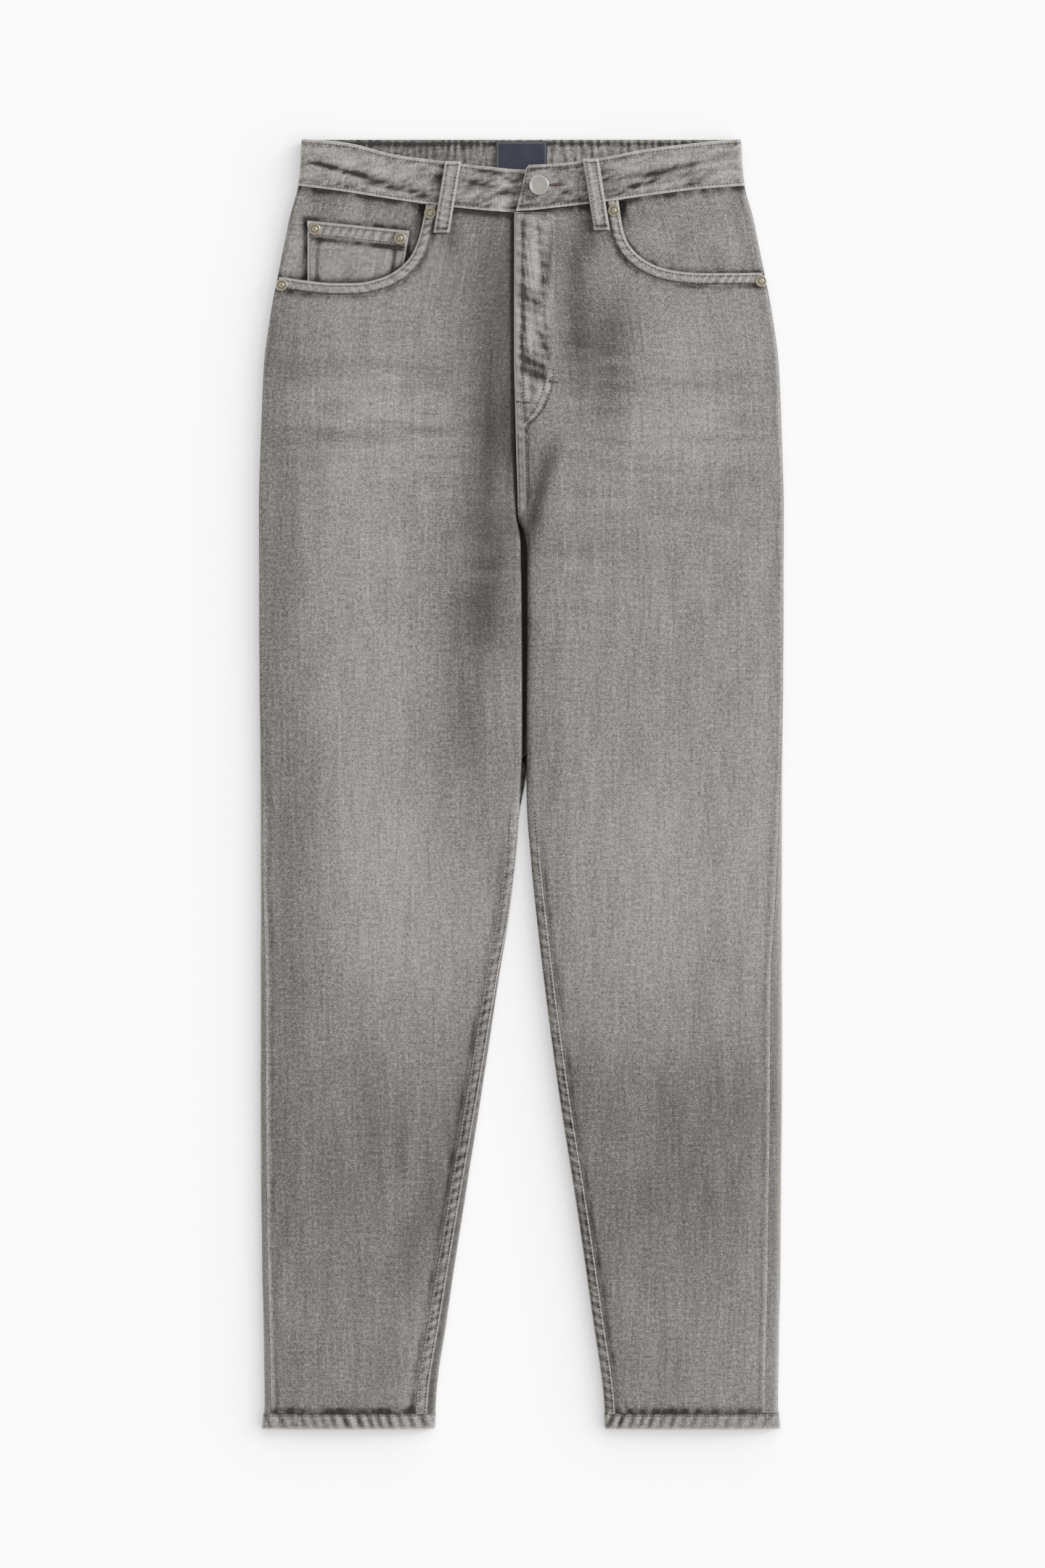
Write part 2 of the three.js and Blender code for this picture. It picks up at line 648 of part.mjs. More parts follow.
/** The waistband: one strip from the button tab round the back to the underlap. */
function waistband(material) {
  const rows = steps(0, 1, 4);
  const corner = [30, 18, 9, 5, 3.4, 2, 1, 0.35, 0];
  const backCorner = [0.35, 1, 2, 3.4, 6, 12, 30];
  const reach = outline(BAND_MIDDLE);
  const front = (side, m, slant = 0) => ({ side, face: "front", m, slant });
  const back = (side, m) => ({ side, face: "back", m });
  const leftFront = [...steps(12, 140, 9)];
  const rightFront = [...steps(140, 24, 8), 17, 11, 5, -2, -12, -26];
  const stations = [
    front(LEFT, -0.4, 3.7),
    ...leftFront.map((m) => front(LEFT, m)),
    ...corner.map((s) => front(LEFT, reach - s)),
    ...backCorner.map((s) => back(LEFT, reach - s)),
    ...steps(120, 0, 3).map((m) => back(LEFT, m)),
    ...steps(40, 120, 2).map((m) => back(RIGHT, m)),
    ...backCorner.reverse().map((s) => back(RIGHT, reach - s)),
    ...corner.reverse().map((s) => front(RIGHT, reach - s)),
    ...rightFront.map((m) => front(RIGHT, m)),
  ];
  const grid = stations.map((station) => rows.map((v) => bandPlace(station, v)));
  return wall("waistband", grid, material);
}

/** The height at which a line across the garment meets a column, whose distance out depends on height. */
function meeting(line, column) {
  let y = 480;
  for (let i = 0; i < 12; i++) y = line(column(y));
  return y;
}

/** A place on the waistband at a station along it and a share v of its height. */
function bandPlace({ side, face, m, slant = 0 }, v) {
  const isFront = face === "front";
  const column = (y) => m + (outline(y) - outline(BAND_MIDDLE)) * ease((m - 60) / 90);
  const low = isFront ? meeting(bandBottom[side], column) : END - BAND_BACK_HEIGHT;
  const high = isFront ? meeting(bandTop[side], column) : END;
  const y = lerp(low, high, v);
  const widened = column(y) + slant * (2 * v - 1);
  if (!isFront) return layer(onBack(side, widened, y), 0, BAND_THICK);
  const past = side === RIGHT && m < 26;
  const drop = side === RIGHT ? UNDERLAP * ease((22 - m) / 14) : 0;
  const place = past && m < 6.6 ? onFront(LEFT, -widened, y) : onFront(side, widened, y);
  return layer(place, BAND_PROUD - drop, BAND_THICK);
}

/** A belt loop on the front, from the waistband's upper edge down on to the panel. */
function frontLoop(side, name, topM, bottomM, bottomY, material) {
  const along = [0, 0.06, 0.2, 0.4, 0.55, 0.66, 0.78, 0.92, 1];
  const grid = [-0.5, 0, 0.5].map((across) =>
    along.map((t) => {
      const m = lerp(topM, bottomM, t) + across * LOOP_WIDTH;
      const y = lerp(bandTop[side](topM), bottomY, t);
      const arch = LOOP_ARCH * Math.sin(Math.PI * clamp(t / 0.95, 0, 1)) ** 0.7;
      const under = Math.max(BAND_PROUD, MOUTH.raise) + GAP + arch;
      return layer(onFront(side, m, y), under + LOOP_THICK, LOOP_THICK);
    }),
  );
  return wall(name, grid, material);
}

/** A flat plate with an outline, between two heights. */
function plate(name, outlinePoints, bottom, thickness, material) {
  const shape = new THREE.Shape(outlinePoints.map(([x, y]) => new THREE.Vector2(x, y)));
  const geometry = new THREE.ExtrudeGeometry(shape, { depth: thickness, bevelEnabled: false });
  const mesh = new THREE.Mesh(geometry, material);
  mesh.name = name;
  mesh.position.z = bottom;
  return mesh;
}

/** A back patch pocket, lying on the table under the seat. */
function backPocket(side, name, material) {
  const p = BACK_POCKET;
  const points = [
    [-p.width / 2, 0],
    [-p.bottomWidth / 2, -p.side],
    [0, -p.tip],
    [p.bottomWidth / 2, -p.side],
    [p.width / 2, 0],
  ].map(([x, y]) => [side * p.x + x, p.top + y]);
  return plate(name, points, 0, CLOTH, material);
}

/** A belt loop on the back, lying on the table under the waistband. */
function backLoop(x, name, material) {
  const half = LOOP_WIDTH / 2;
  const top = END - 1;
  const points = [
    [x - half, top],
    [x - half, top - BACK_LOOP_LENGTH],
    [x + half, top - BACK_LOOP_LENGTH],
    [x + half, top],
  ];
  return plate(name, points, 0, CLOTH, material);
}

/** A piece turned about its own axis, seated on a place and standing along its normal. */
function seated(name, profile, segments, place, lift, material) {
  const points = profile.map(([r, z]) => new THREE.Vector2(r, z));
  const geometry = new THREE.LatheGeometry(points, segments);
  const mesh = new THREE.Mesh(geometry, material);
  mesh.name = name;
  mesh.position.copy(place.point).addScaledVector(place.normal, lift);
  mesh.quaternion.setFromUnitVectors(new THREE.Vector3(0, 1, 0), place.normal);
  return mesh;
}

/** The shank button on the waistband's tab. */
function shankButton(material) {
  const b = BUTTON;
  const profile = [
    [0, 0],
    [4.2, 0],
    [4.2, 0.9],
    [b.radius, 1.3],
    [b.radius, b.height - 0.7],
    [b.radius - b.lip, b.height],
    [b.radius - 2 * b.lip, b.height - 0.6],
    [0, b.height - 0.3],
  ];
  return seated("shank_button", profile, 24, onFront(LEFT, b.x, b.y), BAND_PROUD + GAP, material);
}

/** A rivet: a shallow cap with a nipple. */
function rivet(name, place, lift, material) {
  const r = RIVET;
  const profile = [
    [0, 0],
    [r.radius, 0],
    [r.radius, 0.6 * r.height],
    [r.radius - 1.1, r.height],
    [r.nipple + 0.9, 0.8 * r.height],
    [r.nipple, r.nippleHeight],
    [0, r.nippleHeight],
  ];
  return seated(name, profile, 12, place, lift, material);
}

/** The woven label inside the back of the waistband. */
function neckLabel(material) {
  const top = END - LABEL.below;
  const grid = [-1, -0.5, 0, 0.5, 1].map((across) =>
    steps(top - LABEL.height, top, 2).map((y) => {
      const m = (across * LABEL.width) / 2;
      const place = onBack(m < 0 ? RIGHT : LEFT, Math.abs(m), y);
      return { ...place, outer: -(BAND_THICK + GAP), inner: -(BAND_THICK + GAP + LABEL.thick) };
    }),
  );
  return wall("waist_label", grid, material);
}

/** The closed zip, hidden under the fly: two tapes with the chain between them. */
function zip(material) {
  const half = ZIP.width / 2;
  const chain = ZIP.chainWidth / 2;
  const across = [-half, -chain - 0.4, -chain, chain, chain + 0.4, half];
  const depth = CLOTH + GAP;
  const grid = across.map((offset) =>
    steps(ZIP.bottom, ZIP.top - GAP, 8).map((y) => {
      const x = innerEdge[LEFT](y) + 2 + offset;
      const side = x > innerEdge[LEFT](y) ? LEFT : RIGHT;
      const place = onFront(side, side * x, y);
      place.normal.set(0, 0, 1);
      const thick = Math.abs(offset) <= chain ? ZIP.chain : ZIP.tape;
      return { ...place, outer: -depth, inner: -depth - thick };
    }),
  );
  return wall("zip", grid, material);
}

/** A material with the part's own colour. */
function finish(color, roughness, metalness = 0) {
  return new THREE.MeshStandardMaterial({ color, roughness, metalness });
}

const DENIM = finish("#92908c", 0.92);
const DENIM_INSIDE = finish("#76716e", 0.94);
const BRASS = finish("#b7ad8c", 0.38, 1);
const NICKEL = finish("#cfccc3", 0.34, 1);
const LABEL_CLOTH = finish("#232c44", 0.8);

/** The whole garment. */
function jeans() {
  const group = new THREE.Group();
  const rightLoop = { top: 56.3, bottom: 66, y: 454.2 };
  const leftLoop = { top: 56.9, bottom: 66.1, y: 456.4 };
  group.add(
    frontPanel(RIGHT, "front_panel_right", DENIM),
    frontPanel(LEFT, "front_panel_left", DENIM),
    backPanel(RIGHT, "back_panel_right", DENIM),
    backPanel(LEFT, "back_panel_left", DENIM),
    yoke(RIGHT, "yoke_right", DENIM),
    yoke(LEFT, "yoke_left", DENIM),
    facing(RIGHT, "pocket_facing_right", DENIM),
    facing(LEFT, "pocket_facing_left", DENIM),
    coinPocket(DENIM),
    waistband(DENIM_INSIDE),
    frontLoop(RIGHT, "belt_loop_front_right", rightLoop.top, rightLoop.bottom, rightLoop.y, DENIM),
    frontLoop(LEFT, "belt_loop_front_left", leftLoop.top, leftLoop.bottom, leftLoop.y, DENIM),
    backPocket(RIGHT, "back_pocket_right", DENIM),
    backPocket(LEFT, "back_pocket_left", DENIM),
    ...BACK_LOOPS.map((x, i) => backLoop(x, `belt_loop_back_${i + 1}`, DENIM)),
    neckLabel(LABEL_CLOTH),
    zip(BRASS),
    shankButton(NICKEL),
  );
  const onCoin = (m, y) => CLOTH + GAP + COIN_HEM.raise - facingDepth(RIGHT, m, y);
  const rivets = [
    { name: "rivet_mouth_right_inner", side: RIGHT, m: 75.2, y: 470.2, skin: MOUTH.raise },
    { name: "rivet_mouth_right_side", side: RIGHT, m: 197.6, y: 411.2, skin: MOUTH.raise },
    { name: "rivet_mouth_left_inner", side: LEFT, m: 76, y: 472.2, skin: MOUTH.raise },
    { name: "rivet_mouth_left_side", side: LEFT, m: 197.4, y: 414.6, skin: MOUTH.raise },
    { name: "rivet_coin_outer", side: RIGHT, m: 170.6, y: 457.4, skin: onCoin(175.5, 457.4) },
    { name: "rivet_coin_inner", side: RIGHT, m: 100.2, y: 449.6, skin: onCoin(100.2, 449.6) },
  ];
  for (const { name, side, m, y, skin } of rivets) {
    group.add(rivet(name, onFront(side, m, y), skin + GAP, BRASS));
  }
  return group;
}

export default jeans();
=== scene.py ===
"""Washed grey mom jeans, laid flat on their back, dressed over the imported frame.

The tables and the cloth's own sizes are in millimetres, and the meshes are in metres. The waist is towards
+Y, the wearer's left is +X and +Z comes up off the table, as in the part.
"""

import logging
import math
from collections.abc import Callable, Sequence
from dataclasses import dataclass, field
from enum import Enum
from functools import partial

import bpy
import numpy as np
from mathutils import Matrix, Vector
from mathutils.bvhtree import BVHTree

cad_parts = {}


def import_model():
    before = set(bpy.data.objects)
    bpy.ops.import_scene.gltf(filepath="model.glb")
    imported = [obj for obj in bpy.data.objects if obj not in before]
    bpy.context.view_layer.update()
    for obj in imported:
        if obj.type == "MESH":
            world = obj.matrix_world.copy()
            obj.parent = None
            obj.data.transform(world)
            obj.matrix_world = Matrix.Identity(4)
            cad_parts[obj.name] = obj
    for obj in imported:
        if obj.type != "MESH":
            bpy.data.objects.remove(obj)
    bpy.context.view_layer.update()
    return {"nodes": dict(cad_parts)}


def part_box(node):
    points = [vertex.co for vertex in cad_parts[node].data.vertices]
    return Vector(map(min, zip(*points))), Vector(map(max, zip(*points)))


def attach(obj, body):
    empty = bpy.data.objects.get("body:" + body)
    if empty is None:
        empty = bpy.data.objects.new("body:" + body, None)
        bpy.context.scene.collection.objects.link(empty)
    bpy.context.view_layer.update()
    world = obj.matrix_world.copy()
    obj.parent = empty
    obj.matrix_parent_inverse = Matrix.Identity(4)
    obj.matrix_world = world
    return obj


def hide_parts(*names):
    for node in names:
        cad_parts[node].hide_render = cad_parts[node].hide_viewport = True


LOG = logging.getLogger("mom_jeans")

Array = np.ndarray
Colour = tuple[float, float, float]
Rows = tuple[tuple[float, ...], ...]

MM = 0.001
END = 531.6  # the waist's back edge is at y = END and the hems at y = -END
CROTCH = 207.0
DENIM_THICK = 1.2
GAP = 0.3
FOLD_ROUND = 4.2  # how far in from a folded edge the cloth is still turning over
SHOULDER_WIDTH = 36.0
SHOULDER_DROP = 1.6
GROOVE_FRONT = 24.0
GROOVE_BACK = 10.0
SEAT_LIFT = 1.5
RISE_LENGTH = 150.0
SADDLE_LENGTH = 40.0
HIP = 440.0  # the height at which the back's and the facings' columns are spread
HEM_HEIGHT = 12.6
HEM_TOP = -END + HEM_HEIGHT
FELL_WIDTH = 9.6
MOUTH_WIDTH = 9.2
BAND_HEIGHT = 37.0
BAND_MIDDLE = 512.0
BAND_BACK_HEIGHT = 38.2
BAND_THICK = 2.2
BAND_PROUD = 0.6
LOOP_WIDTH = 12.4
LOOP_THICK = 1.7
COIN_WIDTH = 83.0
COIN_OUTER = 176.2  # its outer edge's distance from the centre
COIN_TOP = (463.9, 455.4)  # height of its mouth's outer and inner ends
STITCH_LIFT = 1.5  # how far over the skin a row of stitches is laid before it sinks in


class Side(Enum):
    """The wearer's right or left half, with the sign of its X."""

    RIGHT = -1
    LEFT = 1

    @property
    def tag(self) -> str:
        """The side's part of a piece's name."""
        return self.name.lower()


# Half width of the whole garment: y, out
OUTLINE: Rows = (
    (531.6, 181.2), (504, 182.7), (489, 185.4), (468, 191.4), (444, 196.5), (420, 201.3), (390, 207),
    (348, 212.7), (312, 214.5), (276, 215.7), (228, 217), (132, 217), (36, 216), (-60, 215.4),
    (-252, 215.7), (-396, 214.5), (-480, 212.7), (-513, 212.4), (-531.6, 214.2),
)

# Where each half ends towards the middle: y, x of the right half, x of the left half
INNER_EDGE: Rows = (
    (480, -6.6, -6.1), (360, -6.8, -6.3), (300, -5.6, -5.1), (250, -4.1, -3.6), (216, -2.4, -1.8),
    (207, -1.2, 2.6), (190, -0.3, 4.4), (132, 0.6, 4.5), (36, 0.9, 3.9), (-12, -1.2, 4.2), (-60, -4.5, 7.5),
    (-108, -10, 12.3), (-156, -17.7, 17.7), (-252, -32.1, 30.3), (-348, -47.1, 45.3), (-444, -61.5, 59.1),
    (-504, -69.9, 67.5), (-531.6, -71.1, 69.3),
)

# Heights above the table: y, the front's crown, the fold at the outline, how much each half is domed
HEIGHTS: Rows = (
    (531.6, 10.4, 5.6, 0.2), (475, 10.4, 5.4, 0.3), (432, 9.6, 4.8, 0.8), (330, 9.4, 4.6, 1.1),
    (207, 8.8, 4.2, 1.2), (60, 8.2, 3.8, 1.2), (-250, 7.8, 3.6, 1.2), (-480, 7.4, 3.4, 1.1),
    (-531.6, 7.4, 3.4, 0.9),
)

# How far the back comes round on to the front: y, side seams right and left, inseams right and left
SEAM_SHIFT: Rows = (
    (60, 2, 2, 0, 0), (-60, 3.4, 5, 0.6, 0), (-180, 6, 11, 3, 0.4), (-400, 6.4, 12, 6.5, 0.6),
    (-531.6, 7, 12, 8.5, 0.6),
)

# The waistband's edges in front: distance from the centre, top right, top left, bottom right, bottom left
BAND_EDGES: Rows = (
    (-30, 505.6, 509, 470.6, 471.4), (0, 506, 509.2, 471, 472.2), (25, 507.6, 510.2, 472.4, 474.6),
    (62, 512, 514.6, 476, 478.8), (103, 517.4, 522.2, 481.4, 484.6), (145, 527.6, 527.4, 488, 490),
    (184, 531.6, 531.6, 493.4, 493.4),
)

# The edge of each pocket mouth, from the waistband out to the side seam: distance from the centre, y
MOUTHS: dict[Side, Rows] = {
    Side.RIGHT: (
        (77.7, 479), (81.7, 460.4), (85.6, 445.5), (91.6, 433.6), (101.7, 423.6), (116.5, 416.1),
        (136.5, 412.2), (156.3, 412.2), (176.2, 414.1), (204, 418.4),
    ),
    Side.LEFT: (
        (79.3, 481.5), (81.8, 463.2), (85.8, 448.3), (92.7, 438.4), (102.7, 430.4), (116.6, 424.4),
        (132.5, 421.4), (150.5, 420.4), (176, 420.6), (204, 421.4),
    ),
}


@dataclass(frozen=True)
class Mark:
    """A soft oval mark on the cloth, of height in mm or of tone.

    length runs along angle, in degrees from +X, and both sizes are half sizes. A trough or a dark mark has a
    negative amount.
    """

    x: float
    y: float
    angle: float
    length: float
    width: float
    amount: float

    def at(self, x: Array, y: Array) -> Array:
        """The mark's amount at each place."""
        turn = math.radians(self.angle)
        dx, dy = x - self.x, y - self.y
        along = (dx * math.cos(turn) + dy * math.sin(turn)) / self.length
        across = (dy * math.cos(turn) - dx * math.sin(turn)) / self.width
        return self.amount * np.exp(-(along**4) - across**2)


def marks(*rows: tuple[float, ...]) -> tuple[Mark, ...]:
    """Marks from rows of x, y, angle, length, width and amount."""
    return tuple(Mark(*row) for row in rows)


def summed(group: Sequence[Mark], x: Array, y: Array) -> Array:
    """All the marks together at each place."""
    total = np.zeros(np.broadcast(x, y).shape)
    for mark in group:
        total = total + mark.at(x, y)
    return total


# The front's soft folds
FOLDS = marks(
    (-27, 335, 91, 170, 19, -1.0), (15, 248, 73, 62, 9, -0.9), (118, 330, 12, 110, 12, -0.5),
    (-112, 318, -8, 95, 13, -0.5), (60, -110, 84, 150, 16, -0.5), (72, 345, 88, 62, 12, -0.7),
    (30, 420, 85, 50, 8, 0.5), (-62, 236, 100, 70, 20, 0.5), (-150, 352, -4, 60, 7, -0.35),
    (-130, 288, 3, 70, 8, -0.3), (142, 300, 6, 70, 7, -0.3), (120, 268, -5, 66, 7, -0.25),
    (-96, -170, 20, 60, 14, -0.3), (150, -60, -14, 48, 13, -0.3),
)

# Creases pressed into the waistband
BAND_CREASES = marks(
    (-130, 500, -15, 54, 2.5, -0.62), (-150, 507, -14, 26, 2.0, -0.4), (-102, 489, -14, 34, 2.2, -0.45),
    (-146, 493, -24, 22, 2.0, -0.3), (-122, 505, -14, 40, 2.4, 0.12), (-88, 502, 34, 13, 2.2, -0.35),
    (-36, 494, -12, 26, 2.4, -0.42), (-30, 489, -8, 30, 2.0, -0.3), (-24, 484, 16, 16, 2.0, -0.3),
    (-14, 500, -30, 12, 2.2, -0.35), (98, 502, 8, 30, 3.0, -0.34), (90, 490, 21, 24, 2.4, -0.34),
    (126, 507, 15, 42, 2.3, -0.5), (104, 495, 12, 38, 2.2, -0.4), (150, 500, 24, 18, 2.6, -0.35),
    (40, 486, -20, 12, 2.4, -0.3), (32, 502, 12, 12, 2.2, -0.25), (30, 493.4, 2, 9, 2.0, -0.5),
)

# The wash: lighter on the thighs and knees, darker in the hollows, where it is partly painted shade; with
# painted shadow beside the belt loops, painted shade along the outer edge of the wearer's right leg and a
# painted highlight along the left leg's outer edge
WASH_AND_SHADE = marks(
    (-132, -460, 90, 220, 80, -0.025), (132, -460, 90, 220, 80, -0.02), (-176, -70, 90, 150, 24, -0.035),
    (-122, 150, 91, 260, 52, 0.11), (-104, -96, 96, 90, 50, 0.11), (-122, 350, 90, 80, 60, 0.01),
    (-46, 100, 90, 130, 38, -0.085), (-20, 150, 88, 60, 16, -0.04), (110, 130, 89, 280, 110, 0.06),
    (108, -90, 86, 100, 64, 0.08), (190, -40, 88, 170, 20, 0.06), (-130, -310, 90, 90, 90, -0.06),
    (130, -310, 90, 90, 90, -0.08), (-27, 350, 91, 120, 22, -0.15), (-26, 215, 86, 100, 24, -0.09),
    (15, 238, 76, 46, 8, -0.22), (46, 392, 92, 66, 16, -0.16), (72, 345, 88, 66, 19, -0.14),
    (146, 330, 90, 80, 50, 0.05), (-195, 60, 90, 400, 20, -0.04), (-66, -310, 74, 130, 14, -0.06),
    (-130, 345, -3, 70, 6, -0.05), (-120, 318, -6, 74, 5, 0.04), (-128, 290, 2, 66, 6, -0.05),
    (130, 352, 5, 70, 6, 0.04), (134, 330, 8, 66, 6, -0.05), (128, 306, 5, 66, 5, 0.04),
    (120, 284, 2, 66, 6, -0.05), (-62, 470, 100, 36, 9, -0.14), (61, 472, 80, 36, 9, -0.14),
)

# Where the hips have creased into many fine level lines
WHISKERS = marks(
    (-120, 300, -4, 80, 70, 0.07), (116, 290, 4, 80, 84, 0.08), (0, 170, 0, 90, 60, 0.03),
)

# Scuffs and creases on the fly, rubbed light between dark ones
FLY_SCUFFS = marks(
    (7, 400, -50, 12, 6, -0.36), (10, 344, -55, 13, 7, -0.4), (20, 360, -70, 14, 3, -0.3),
    (24, 436, 84, 26, 3, -0.26), (17, 418, 84, 16, 2.2, -0.2), (0, 366, 88, 14, 2, -0.2),
    (9, 376, 86, 13, 5, 0.22), (11, 428, 88, 20, 5, 0.26), (3, 452, 88, 14, 4, 0.2),
    (16, 322, 40, 12, 5, 0.24), (4, 326, 90, 12, 3, 0.2), (22, 392, 80, 15, 3, 0.2),
    (5, 262, 92, 30, 3, 0.1),
)


def ease(value: Array) -> Array:
    """A smooth step from 0 to 1."""
    held = np.clip(value, 0.0, 1.0)
    return held * held * (3.0 - 2.0 * held)


def quarter(value: Array) -> Array:
    """The height of a quarter circle from 0 to 1."""
    return np.sqrt(1.0 - (1.0 - np.clip(value, 0.0, 1.0)) ** 2)


def blend(a: Array, b: Array, share: Array) -> Array:
    """A straight mix of a and b."""
    return a + (b - a) * share


def bell(value: Array, width: float, middle: float = 0.0) -> Array:
    """A soft hump of 1 at the middle, which fades over the width."""
    return np.exp(-(((value - middle) / width) ** 2))


def arch(share: Array, power: float = 1.0) -> Array:
    """The height of a rounded arch over a share from 0 to 1."""
    return np.sin(math.pi * np.clip(share, 0.0, 1.0)) ** power


def lower_leg(y: Array) -> Array:
    """1 up to the knee, fading out above it."""
    return 1 - ease((y + 90) / 80)


def from_ends(share: Array, size: float) -> Array:
    """The distance from the nearer end of a size, at a share of it."""
    return np.minimum(share, 1 - share) * size


def distances(path: Array) -> Array:
    """How far along a path each of its points is."""
    return np.concatenate([[0.0], np.cumsum(np.sqrt((np.diff(path, axis=0) ** 2).sum(axis=1)))])


class Curve:
    """A smooth reading of one column of a table, with no overshoot between its rows."""

    def __init__(self, rows: Rows, column: int = 1) -> None:
        """Prepares the slopes.

        Args:
            rows: the table, whose first column is where its rows stand.
            column: the column to read.
        """
        order = sorted(rows, key=lambda row: row[0])
        self.at = np.array([row[0] for row in order], float)
        self.value = np.array([row[column] for row in order], float)
        slope = np.diff(self.value) / np.diff(self.at)
        before = np.concatenate([slope[:1], slope])
        after = np.concatenate([slope, slope[-1:]])
        agree = before * after > 0
        self.tangent = np.where(agree, 2 * before * after / np.where(agree, before + after, 1.0), 0.0)

    def __call__(self, value: Array | float) -> Array:
        """The column's value at each place."""
        held = np.clip(value, self.at[0], self.at[-1])
        k = np.clip(np.searchsorted(self.at, held, side="right") - 1, 0, len(self.at) - 2)
        step = self.at[k + 1] - self.at[k]
        t = (held - self.at[k]) / step
        start = (1 + 2 * t) * (1 - t) ** 2 * self.value[k] + t * (1 - t) ** 2 * step * self.tangent[k]
        return start + t * t * (3 - 2 * t) * self.value[k + 1] + t * t * (t - 1) * step * self.tangent[k + 1]


class Ripples:
    """Seeded smooth noise in two directions, from -1 to 1, for puckers, slubs and soft creases."""

    SIZE = 512

    def __init__(self, seed: int) -> None:
        """Draws the table of values."""
        self.table = np.random.default_rng(seed).uniform(-1.0, 1.0, (self.SIZE, self.SIZE))

    def __call__(self, u: Array, v: Array) -> Array:
        """The noise at each place."""
        u, v = np.broadcast_arrays(u, v)
        low_u, low_v = np.floor(u).astype(int), np.floor(v).astype(int)
        fu, fv = ease(u - low_u), ease(v - low_v)
        i, j = low_u % self.SIZE, low_v % self.SIZE
        i2, j2 = (i + 1) % self.SIZE, (j + 1) % self.SIZE
        t = self.table
        return blend(blend(t[i, j], t[i2, j], fu), blend(t[i, j2], t[i2, j2], fu), fv)


OUT = Curve(OUTLINE)
INNER = {Side.RIGHT: Curve(INNER_EDGE, 1), Side.LEFT: Curve(INNER_EDGE, 2)}
CROWN = Curve(HEIGHTS, 1)
FOLD = Curve(HEIGHTS, 2)
DOME = Curve(HEIGHTS, 3)
SIDE_SHIFT = {Side.RIGHT: Curve(SEAM_SHIFT, 1), Side.LEFT: Curve(SEAM_SHIFT, 2)}
IN_SHIFT = {Side.RIGHT: Curve(SEAM_SHIFT, 3), Side.LEFT: Curve(SEAM_SHIFT, 4)}
BAND_TOP = {Side.RIGHT: Curve(BAND_EDGES, 1), Side.LEFT: Curve(BAND_EDGES, 2)}
BAND_BOTTOM = {Side.RIGHT: Curve(BAND_EDGES, 3), Side.LEFT: Curve(BAND_EDGES, 4)}
MOUTH_Y = {side: Curve(rows) for side, rows in MOUTHS.items()}


